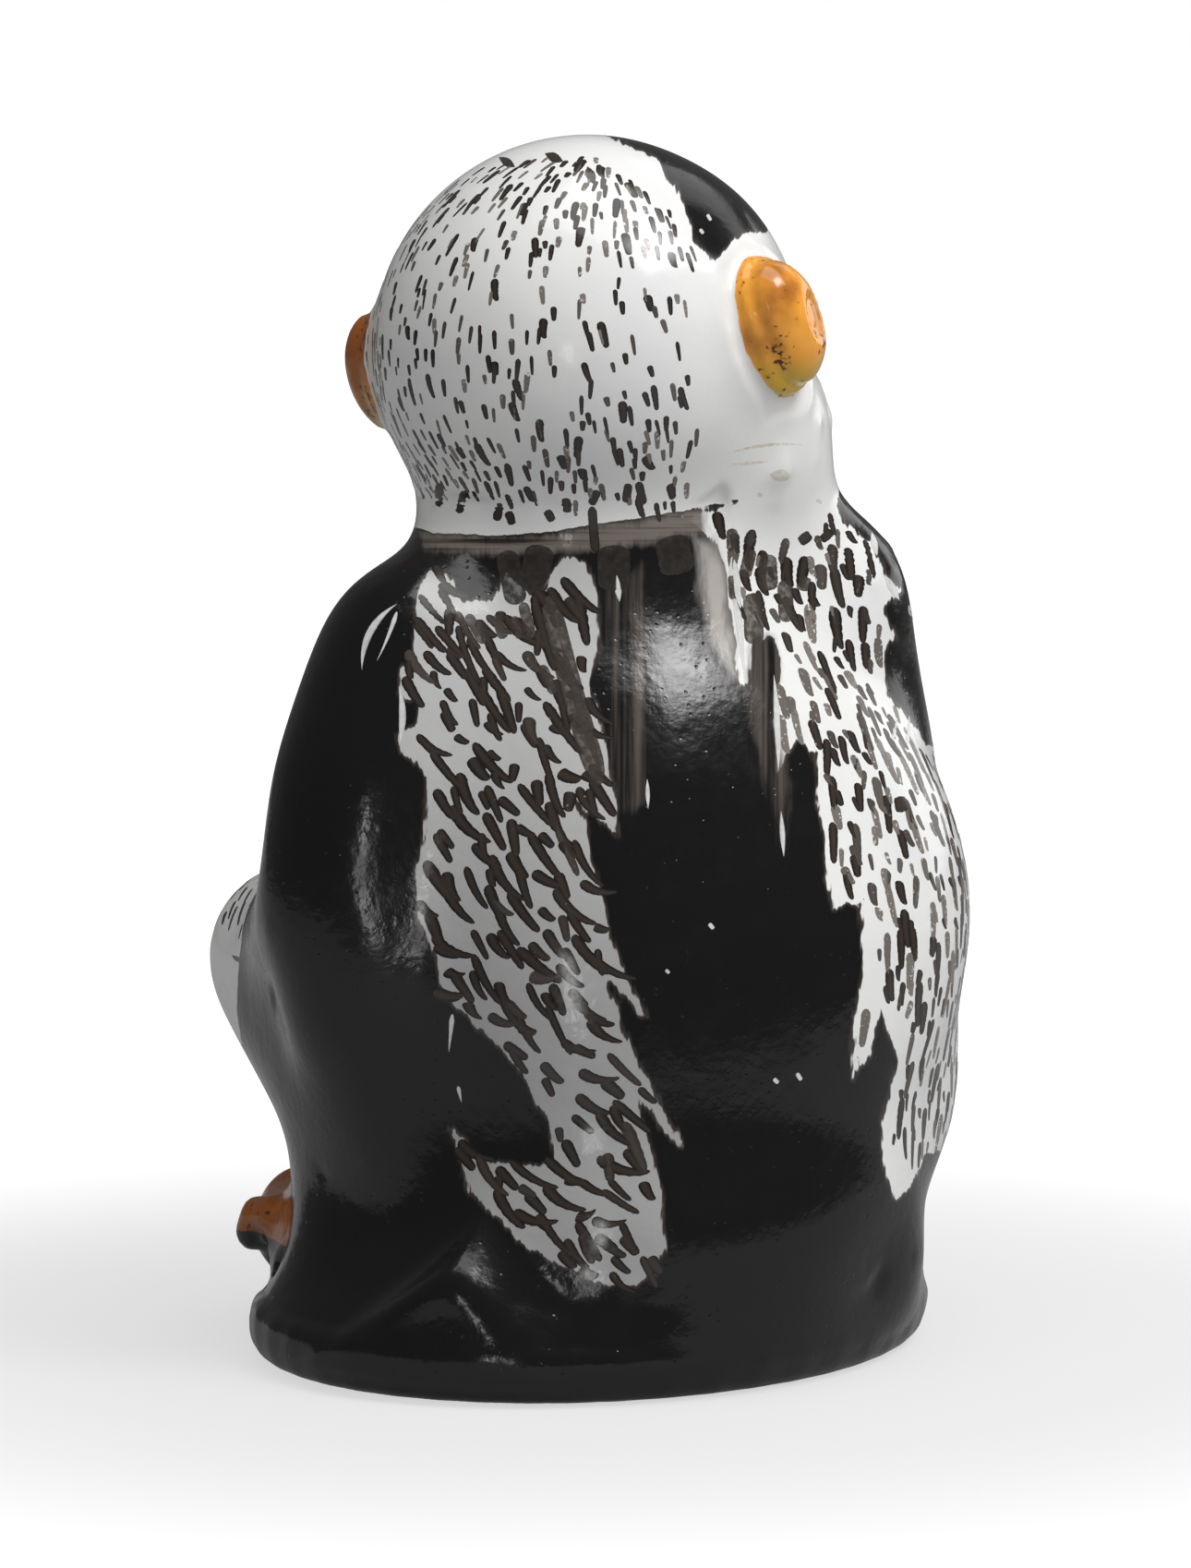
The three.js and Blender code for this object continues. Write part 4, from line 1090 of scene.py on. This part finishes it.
INK_RIM = (0.012, 0.010, 0.009, 1.0)
INK_MIDDLE = (0.042, 0.032, 0.027, 1.0)
INK_PALE = (0.24, 0.21, 0.185, 1.0)
INK_RISE = (0.1, 0.85)
INK_PALING = (0.45, 1.0, 0.0, 0.9)
DRY_SCALE = 2600.0
DRY_IN_PALE = 0.30
DRY_GAP = (1.0, 0.80)
ENAMEL_ROUGHNESS = (0.3, 0.8, 0.08, 0.18)
enamel, tree, shader = new_material("black_brush_enamel")
place = tree.nodes.new("ShaderNodeTexCoord").outputs["Object"]
tone = layer(tree, "tone")
ink = blend(tree, ramp(tree, layer(tree, "rise"), *INK_RISE), INK_RIM, INK_MIDDLE)
ink = blend(tree, ramp(tree, tone, *INK_PALING), ink, INK_PALE)
dry = noise(tree, place, DRY_SCALE)
gap = ramp(tree, sums(tree, "MULTIPLY_ADD", tone, DRY_IN_PALE, dry), *DRY_GAP)
sheen = ramp(tree, dry, *ENAMEL_ROUGHNESS)
feed(tree, shader, IOR=GLAZE_INDEX, Base_Color=ink, Alpha=gap, Roughness=sheen)

# Where the fur is painted, each row as a measure, where it sets in and where it is full. The rows that
# add fur open with a share of the fullest cover, and the others bound it.
FUR_ALL_OVER = 0.42
FUR_ON_KNEES = 0.9
FUR_ON_BIB = 0.5
BEHIND_EARS = 8.0
behind_by = from_head @ HEAD_BACK - BEHIND_EARS
MORE_HEAD_FUR = {
    "at the top": (0.35, down_px, 300.0, 200.0), "low down": (0.30, down_px, 420.0, 500.0),
    "near the crown": (0.25, crown_by, -8.0, -3.0), "at the left": (0.15, across_px, 500.0, 430.0)}
HEAD_FUR_BOUNDS = {
    "behind the ears": (behind_by, -0.8, 1.2), "inside the head": (head_by, 0.4, 1.2),
    "off the ears": (ears_by, -0.2, -1.0), "off the crown": (crown_by, 0.5, -0.5),
    "off the neck": (white_by, 0.0, 1.5), "off the cheek": (across_px, 775.0, 735.0)}
LEFT_FUR_BOUNDS = {
    "inside the patch": (left_flank_by, -0.2, 0.4), "in view": (facing, -0.1, 0.2),
    "off the plinth": (plinth_by, -0.5, -1.2)}
SWEEP_BOUNDS = {"below the neck": (down_px, 660.0, 700.0), "above the elbow": (down_px, 850.0, 780.0)}
RIGHT_FUR_BOUNDS = {"inside the patch": (right_flank_by, 0.2, 1.0), "off the head": (head_by, -0.6, -1.4)}
KNEE_FUR_BOUNDS = {"inside the knee": (knee_by, 0.3, 1.5), "on its top": (skin_mm[:, 2], 37.5, 40.0)}
INSIDE_BIB = (0.5, 2.0)


def bounded(bounds):
    """How fully the fur is painted within all of its bounds, from 0 to 1."""
    return np.prod([eased(*bound) for bound in bounds.values()], axis=0)


head_fur = FUR_ALL_OVER + sum(share * eased(*rise) for share, *rise in MORE_HEAD_FUR.values())
head_fur *= bounded(HEAD_FUR_BOUNDS)
left_fur = bounded(LEFT_FUR_BOUNDS)
left_top_fur = left_fur * bounded(SWEEP_BOUNDS)
right_fur = bounded(RIGHT_FUR_BOUNDS)
front_fur = np.maximum(FUR_ON_KNEES * bounded(KNEE_FUR_BOUNDS), FUR_ON_BIB * eased(bib_by, *INSIDE_BIB))

# How the fur lies: degrees from straight down, to the right as it is seen, and the columns and rows
# from which it leans and where it leans fully.
HEAD_LEANS = {
    "upper left": (-30.0, (600.0, 430.0), (400.0, 220.0)),
    "lower left": (24.0, (600.0, 430.0), (420.0, 520.0)),
    "under the crown": (-16.0, (680.0, 600.0), (260.0, 180.0)),
    "by the cheek": (14.0, (600.0, 700.0), (300.0, 360.0))}
SPINE_ACROSS = 740
LEFT_FLANK_LEAN = 18.0
LEFT_FLANK_LEANS_MORE = 18.0
DOWN_THE_FLANK = (700.0, 1200.0)
RIGHT_FLANK_LEAN = -9.0
head_lean = sum(lean * eased(across_px, *columns) * eased(down_px, *rows)
                for lean, columns, rows in HEAD_LEANS.values())
left_flank_lean = LEFT_FLANK_LEAN + LEFT_FLANK_LEANS_MORE * eased(down_px, *DOWN_THE_FLANK)
flank_lean = np.where(across_px < SPINE_ACROSS, left_flank_lean, RIGHT_FLANK_LEAN)
fur_lean = np.radians(np.where(facing > 0, np.where(white_by > 0, head_lean, flank_lean), 0.0))
fur_way = np.sin(fur_lean)[:, None] * view_right - np.cos(fur_lean)[:, None] * view_up
fur_way -= (fur_way * skin_normals).sum(axis=1)[:, None] * skin_normals
fur_way /= np.maximum(np.linalg.norm(fur_way, axis=1, keepdims=True), LEAST_SLOPE)

whole_skin = bpy.data.meshes.new("whole_skin")
whole_skin.from_pydata(skin_points, [], skin_quads)
keep_on(whole_skin, head_fur=head_fur, left_fur=left_fur, left_top_fur=left_top_fur,
        right_fur=right_fur, front_fur=front_fur, fur=fur_way, outward=skin_normals)

# Lengths in metres, densities in strokes to the square metre, turns in radians.
STROKE_THICKNESS = 0.00003
STROKE_COLUMNS = ("Where", "Density", "Spacing", "Shortest", "Longest", "Narrowest", "Widest",
                  "Turn", "Darkest", "Palest", "Hooks", "Seed")
STROKE_REGIONS = {
    "head_dashes": (
        "head_fur", 1300000.0, 0.00088, 0.0009, 0.0021, 0.00042, 0.00075, 0.16, 0.05, 1.0, 0, 3),
    "head_dabs": (
        "head_fur", 210000.0, 0.0021, 0.0013, 0.0026, 0.00075, 0.00115, 0.20, 0.0, 0.5, 1, 4),
    "left_flank_strokes": (
        "left_fur", 300000.0, 0.00185, 0.0026, 0.0054, 0.00095, 0.00145, 0.30, 0.0, 0.60, 3, 8),
    "left_flank_sweeps": (
        "left_top_fur", 90000.0, 0.0030, 0.0046, 0.0080, 0.00105, 0.00150, 0.22, 0.0, 0.60, 2, 14),
    "left_flank_blots": (
        "left_fur", 230000.0, 0.0019, 0.0013, 0.0030, 0.00085, 0.00160, 0.60, 0.0, 0.62, 2, 9),
    "right_flank_strokes": (
        "right_fur", 260000.0, 0.0019, 0.0020, 0.0044, 0.00110, 0.00180, 0.20, 0.1, 0.95, 1, 5),
    "right_flank_blots": (
        "right_fur", 300000.0, 0.0016, 0.0010, 0.0022, 0.00070, 0.00140, 0.40, 0.2, 1.0, 1, 6),
    "front_strokes": (
        "front_fur", 400000.0, 0.0013, 0.0014, 0.0030, 0.00070, 0.00110, 0.25, 0.0, 0.7, 1, 12)}


def laid_on(name, mesh):
    """A mesh of brush marks as a piece that lies on the figure, shaded with the skin's own directions."""
    places = np.empty(len(mesh.vertices) * 3)
    mesh.vertices.foreach_get("co", places)
    mesh.normals_split_custom_set_from_vertices(normals_at(places.reshape(-1, 3)))
    piece = set_down(name, mesh)
    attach(piece, "root")
    return piece


for name, values in STROKE_REGIONS.items():
    ground = set_down(name + "_ground", whole_skin)
    modifier = ground.modifiers.new("brushing", "NODES")
    modifier.node_group = brushing
    for key, value in zip(STROKE_COLUMNS, values):
        modifier[stroke_sockets[key]] = value
    modifier[stroke_sockets["Thickness"]] = STROKE_THICKNESS
    modifier[stroke_sockets["Shapes"]] = stroke_shapes
    modifier[stroke_sockets["Enamel"]] = enamel
    evaluated = ground.evaluated_get(bpy.context.evaluated_depsgraph_get())
    mesh = bpy.data.meshes.new_from_object(evaluated)
    mesh.name = name
    bpy.data.objects.remove(ground)
    laid_on(name, mesh)

# Single brush marks
# Marks that were laid one at a time: slivers of white left between black strokes, thin grey washes,
# the row of dabs under the head with one drip, and a line of rust enamel on the knee.
MARK_STEP = 3.0
MARK_ROWS_LEAST = 6
MARK_SIDES = ((-1.0, STROKE_EDGE_RISE), (-0.6, 0.8), (0.0, 1.0), (0.6, 0.8),
              (1.0, STROKE_EDGE_RISE), (0.5, -1.0), (-0.5, -1.0))
TRACE_STEPS = 60
TRACE_START = 0.10
SPIKE_POWER = 0.8
ROUND_ENDS = 0.18
MARK_BEND = 2


def skin_seen_at(pixels):
    """The places on the skin that are seen at these pixels."""
    pixels = np.array(pixels, dtype=float)
    side = (pixels[:, :1] - PHOTO_WIDE / 2) / PIXELS_PER_METRE * view_right
    rise = (PHOTO_HIGH / 2 - pixels[:, 1:]) / PIXELS_PER_METRE * view_up
    ways = view_aim + side + rise - view_eye
    ways /= np.linalg.norm(ways, axis=1, keepdims=True)
    travelled = np.full(len(pixels), VIEW_DISTANCE - TRACE_START)
    closest = np.full(len(pixels), np.inf)
    kept = travelled
    for _ in range(TRACE_STEPS):
        height = sampled(skin_field, view_eye + travelled[:, None] * ways)
        kept = np.where(np.abs(height) < closest, travelled, kept)
        closest = np.minimum(closest, np.abs(height))
        travelled = travelled + height
    return settled_on_skin(view_eye + kept[:, None] * ways)


def mark_half(share, ends):
    """A mark's half width at a share of its length: pointed, round or fading to a spike."""
    if ends == "spike":
        return min(1.0, math.sqrt(share / ROUND_ENDS)) * (1.0 - share) ** SPIKE_POWER
    if ends == "leaf":
        return math.sin(math.pi * share)
    near_end = min(share, 1.0 - share) / ROUND_ENDS
    return math.sqrt(1.0 - max(0.0, 1.0 - near_end) ** 2)


def mark_pixels(path, wide, ends):
    """The pixels of one mark's rows, and its first and last point, along a smooth path."""
    path = np.array(path, dtype=float)
    gaps = np.linalg.norm(np.diff(path, axis=0), axis=1)
    stations = np.concatenate([[0.0], np.cumsum(gaps)])
    rows = max(MARK_ROWS_LEAST, int(stations[-1] / MARK_STEP))
    shares = (np.arange(rows) + 0.5) / rows
    bend = np.polyfit(stations / stations[-1], path, min(MARK_BEND, len(path) - 1))
    middles = np.stack([np.polyval(bend[:, 0], shares), np.polyval(bend[:, 1], shares)], axis=1)
    along = np.gradient(middles, axis=0)
    along /= np.linalg.norm(along, axis=1, keepdims=True)
    aside = np.stack([-along[:, 1], along[:, 0]], axis=1)
    pixels, rises = [path[0]], [STROKE_EDGE_RISE]
    for middle, away, share in zip(middles, aside, shares):
        half = wide / 2 * mark_half(share, ends)
        for across, rise in MARK_SIDES:
            pixels.append(middle + across * half * away)
            rises.append(rise)
    pixels.append(path[-1])
    rises.append(STROKE_EDGE_RISE)
    return pixels, rises, pillow_faces(rows, len(MARK_SIDES))


def brush_marks(name, material, marks):
    """A group of single marks of one paint, each given as its path and width in pixels and its ends."""
    pixels, rises, faces = [], [], []
    for path, wide, ends in marks:
        own_pixels, own_rises, own_faces = mark_pixels(path, wide, ends)
        faces.extend(tuple(corner + len(pixels) for corner in face) for face in own_faces)
        pixels.extend(own_pixels)
        rises.extend(own_rises)
    rises = np.array(rises)
    places = skin_seen_at(pixels)
    places += normals_at(places) * (rises * STROKE_THICKNESS)[:, None]
    mesh = bpy.data.meshes.new(name)
    mesh.from_pydata(places, [], faces)
    keep_on(mesh, rise=rises, tone=np.zeros(len(rises)))
    mesh.materials.append(material)
    laid_on(name, mesh)


PAINT_CLOUD_SCALE = 1500.0
PAINT_CLOUD = (0.3, 0.7)
PAINT_RIM = (0.95, 0.1, 0.0)
PAINT_SHADE = 0.75
PAINT_ROUGHNESS = (0.3, 0.8, 0.08, 0.16)


def thin_paint(name, colour, thinnest, thickest, rim):
    """Watered enamel that lets the glaze below show through, with more or less of it at a mark's rim."""
    material, tree, shader = new_material(name)
    place = tree.nodes.new("ShaderNodeTexCoord").outputs["Object"]
    cloudy = noise(tree, place, PAINT_CLOUD_SCALE, FINE_DETAIL)
    settled = ramp(tree, layer(tree, "rise"), *PAINT_RIM, rim)
    share = sums(tree, "ADD", ramp(tree, cloudy, *PAINT_CLOUD, thinnest, thickest), settled)
    share = sums(tree, "MAXIMUM", sums(tree, "MINIMUM", share, 1.0), 0.0)
    shade = tuple(PAINT_SHADE * part for part in colour[:3]) + (1.0,)
    feed(tree, shader, IOR=GLAZE_INDEX, Alpha=share, Base_Color=blend(tree, cloudy, colour, shade),
         Roughness=ramp(tree, cloudy, *PAINT_ROUGHNESS))
    return material


WHITE_SLIVERS = [
    (((668, 622), (671, 652)), 8, "leaf"), (((701, 843), (702, 876)), 5, "leaf"),
    (((846, 878), (849, 928)), 6, "leaf"), (((793, 602), (800, 670), (807, 738)), 16, "spike"),
    (((838, 730), (842, 780), (843, 836)), 8, "leaf"), (((430, 654), (406, 676), (392, 726)), 8, "leaf"),
    (((430, 662), (420, 690), (408, 716)), 6, "spike"), (((432, 742), (436, 776), (432, 808)), 8, "leaf"),
    (((490, 1098), (486, 1140)), 7, "spike"), (((496, 1176), (500, 1194)), 6, "spike"),
    (((958, 622), (974, 650)), 9, "leaf"), (((984, 655), (992, 672)), 8, "leaf"),
    (((944, 576), (950, 602)), 8, "leaf"), (((967, 802), (972, 776)), 7, "spike"),
    (((983, 806), (985, 774)), 7, "spike"),
    (((768, 1000), (773, 1006)), 5, "round"), (((863, 1162), (868, 1170)), 5, "round"),
    (((838, 1168), (843, 1173)), 5, "round"), (((721, 1050), (725, 1054)), 4, "round"),
    (((766, 232), (770, 239)), 4, "round"), (((758, 248), (762, 253)), 4, "round")]
GREY_WASHES = [
    (((593, 645), (612, 720), (650, 850)), 26, "round"), (((606, 690), (636, 790), (655, 850)), 12, "leaf"),
    (((566, 652), (576, 692)), 13, "round"), (((537, 665), (546, 692)), 13, "round"),
    (((506, 665), (525, 697)), 12, "round"), (((556, 667), (564, 692)), 11, "round"),
    (((586, 720), (601, 752)), 12, "round"), (((793, 572), (793, 598)), 13, "round"),
    (((814, 594), (806, 626)), 15, "round"), (((830, 600), (832, 640)), 24, "round"),
    (((793, 622), (795, 650)), 11, "round"), (((815, 642), (817, 698)), 23, "round"),
    (((850, 628), (852, 674)), 18, "round"), (((873, 624), (868, 640)), 15, "round")]
NECK_WASHES = [
    (((586, 590), (576, 642)), 34, "round"), (((665, 590), (665, 640)), 38, "round"),
    (((726, 580), (736, 622)), 42, "round"), (((548, 596), (560, 655)), 26, "round")]
NECK_DABS = 9
NECK_DAB_STRAY = 8.0
NECK_DAB_START = (476, 552)
NECK_DAB_END = (702, 542)
NECK_DAB_SAG = 14
NECK_DAB_HIGH = 24
NECK_DAB_WIDE = 10
NECK_DAB_SLANT = 4.0
NECK_DAB_LEAST = 0.8
NECK_DAB_MORE = 0.3
STRAY_ACROSS_TURN = 3.7
STRAY_DOWN_TURN = 5.3
SLANT_TURN = 5.0
HIGH_TURN = 7.0
neck_dabs = []
for number in range(NECK_DABS):
    share = number / (NECK_DABS - 1)
    along_row = NECK_DAB_START[0] + (NECK_DAB_END[0] - NECK_DAB_START[0]) * share
    down_row = NECK_DAB_START[1] + (NECK_DAB_END[1] - NECK_DAB_START[1]) * share
    down_row += NECK_DAB_SAG * math.sin(math.pi * share)
    along_row += NECK_DAB_STRAY * math.sin(STRAY_ACROSS_TURN * number)
    down_row -= NECK_DAB_STRAY * (1.0 + math.cos(STRAY_DOWN_TURN * number))
    slant = NECK_DAB_SLANT * math.sin(SLANT_TURN * number)
    tall = NECK_DAB_HIGH * (NECK_DAB_LEAST + NECK_DAB_MORE * math.cos(HIGH_TURN * number))
    path = ((along_row - slant, down_row - tall / 2), (along_row + slant, down_row + tall / 2))
    neck_dabs.append((path, NECK_DAB_WIDE, "round"))
DARK_BLOBS = [
    (((641, 548), (643, 574), (645, 598)), 11, "round"), (((868, 578), (876, 588)), 16, "round"),
    (((892, 576), (899, 584)), 17, "round"), (((974, 862), (977, 880)), 14, "round"),
    (((590, 166), (610, 175)), 11, "leaf"), (((540, 170), (558, 181)), 10, "leaf"),
    (((636, 180), (644, 200)), 11, "leaf")]
RUST_LINES = [(((251, 1034), (258, 1039), (266, 1041)), 6, "leaf")]
TAN_SMUDGES = [
    (((786, 492), (830, 482), (872, 482)), 5, "leaf"), (((790, 503), (832, 500)), 5, "leaf"),
    (((833, 514), (858, 516)), 20, "leaf"), (((820, 534), (826, 538)), 6, "round"),
    (((884, 541), (890, 545)), 6, "round")]
GREY_WASH = (0.085, 0.070, 0.060, 1.0)
BLACK_WASH = (0.045, 0.038, 0.034, 1.0)
RUST_ENAMEL = (0.22, 0.045, 0.012, 1.0)
TAN_ENAMEL = (0.62, 0.47, 0.16, 1.0)
white_paint = thin_paint("white_porcelain_left_bare", WHITE_GLAZE, thinnest=0.75, thickest=1.0, rim=-0.3)
brush_marks("white_slivers", white_paint, WHITE_SLIVERS)
grey_wash = thin_paint("watered_grey_enamel", GREY_WASH, thinnest=0.55, thickest=0.9, rim=0.15)
dark_wash = thin_paint("watered_black_enamel", BLACK_WASH, thinnest=0.45, thickest=0.9, rim=0.1)
rust_paint = thin_paint("rust_enamel", RUST_ENAMEL, thinnest=0.75, thickest=1.0, rim=0.0)
tan_paint = thin_paint("tan_enamel", TAN_ENAMEL, thinnest=0.06, thickest=0.30, rim=-0.30)
brush_marks("grey_washes", grey_wash, GREY_WASHES)
brush_marks("neck_washes", dark_wash, NECK_WASHES)
brush_marks("dark_dabs", enamel, neck_dabs + DARK_BLOBS)
brush_marks("rust_lines", rust_paint, RUST_LINES)
brush_marks("tan_smudges", tan_paint, TAN_SMUDGES)

# Studio
# A pale table in a dim room. A window high behind the figure's right has soft edges, made of nested lamps.
# A ceiling, a glow over the crown and two lamps at the sides draw the rims, and the fills lighten the shade
# without showing in the gloss.
TABLE_REACH = 4.0
TABLE_DROP = 0.00005
TABLE_ROUGHNESS = 0.9
TABLE_CORNERS = ((-1, -1), (1, -1), (1, 1), (-1, 1))
TABLE_GREY = (0.20, 0.20, 0.205, 1.0)
TABLE_IN_GLOSS = (0.35, 1.60, 0.15, 0.0)
TABLE_SHADE = (0.05, 0.16, 0.62, 1.0)
PAPER_WHITE = (1.0, 1.0, 1.0, 1.0)
corners = [(x * TABLE_REACH, y * TABLE_REACH, -TABLE_DROP) for x, y in TABLE_CORNERS]
table_top = bpy.data.meshes.new("table")
table_top.from_pydata(corners, [], [(0, 1, 2, 3)])
set_down("table", table_top)
table, tree, shader = new_material("pale_table")
ray = tree.nodes.new("ShaderNodeLightPath")
shown = sums(tree, "MAXIMUM", ray.outputs["Is Camera Ray"], ray.outputs["Is Transmission Ray"])
from_foot = wire(tree, "ShaderNodeVectorMath", {"operation": "LENGTH"},
                 i0=tree.nodes.new("ShaderNodeTexCoord").outputs["Object"]).outputs["Value"]
paper = ramp(tree, from_foot, *TABLE_SHADE)
near_by = ramp(tree, from_foot, *TABLE_IN_GLOSS)
mirrored = sums(tree, "MULTIPLY", ray.outputs["Is Glossy Ray"], near_by)
strength = sums(tree, "MAXIMUM", sums(tree, "MULTIPLY", shown, paper), mirrored)
from_below = tree.nodes.new("ShaderNodeNewGeometry").outputs["Backfacing"]
feed(tree, shader, Base_Color=TABLE_GREY, Roughness=TABLE_ROUGHNESS, Emission_Color=PAPER_WHITE,
     Emission_Strength=strength, Alpha=sums(tree, "SUBTRACT", 1.0, from_below))
table_top.materials.append(table)

ROOM_LIGHT = 0.25
ROOM_IN_GLOSS = 0.11
world = bpy.data.worlds.new("room")
bpy.context.scene.world = world
world.use_nodes = True
tree = world.node_tree
ray = tree.nodes.new("ShaderNodeLightPath")
dim = sums(tree, "MULTIPLY_ADD", ray.outputs["Is Glossy Ray"], ROOM_IN_GLOSS - ROOM_LIGHT, ROOM_LIGHT)
bright = sums(tree, "MAXIMUM", dim, ray.outputs["Is Camera Ray"])
feed(tree, tree.nodes["Background"], Color=PAPER_WHITE, Strength=bright)
LAMP_AIM = Vector((0.0, 0.0, 0.06))


def softbox(name, azimuth, elevation, distance, wide, high, watts, mirrored):
    """A soft rectangular lamp aimed at the figure's middle, seen in the gloss or not."""
    data = bpy.data.lights.new(name, "AREA")
    data.shape = "RECTANGLE"
    data.size = wide
    data.size_y = high
    data.energy = watts
    lamp = set_down(name, data)
    turn, lift = math.radians(azimuth), math.radians(elevation)
    toward = Vector((math.sin(turn) * math.cos(lift), -math.cos(turn) * math.cos(lift), math.sin(lift)))
    lamp.location = LAMP_AIM + toward * distance
    lamp.rotation_euler = toward.to_track_quat("Z", "Y").to_euler()
    lamp.visible_glossy = mirrored


# Degrees round the figure and above the table, metres and watts, and whether the gloss shows the lamp.
LAMP_COLUMNS = ("azimuth", "elevation", "distance", "wide", "high", "watts", "mirrored")
LAMPS = {
    "window_core": (215, 54, 0.95, 0.26, 0.17, 0.9, True),
    "window_light": (216, 54, 0.96, 0.42, 0.28, 1.8, True),
    "window_halo": (218, 54, 0.97, 0.56, 0.38, 1.3, True),
    "window_glow": (221, 24, 1.0, 0.42, 0.28, 1.25, False),
    "right_rim": (292, 13, 1.0, 0.6, 0.36, 0.8, True),
    "ceiling": (215, 82, 1.1, 0.8, 0.8, 4.7, True),
    "left_strip": (147, 5, 1.0, 0.07, 0.16, 0.22, True),
    "crown_glow": (303, 42, 1.0, 0.40, 0.40, 0.4, True),
    "back_fill": (182, 16, 1.1, 0.8, 0.8, 3.0, False),
    "left_fill": (70, 15, 1.0, 0.45, 0.45, 1.0, False)}
for name, values in LAMPS.items():
    softbox(name, **dict(zip(LAMP_COLUMNS, values)))
bpy.context.scene.view_settings.view_transform = "Standard"
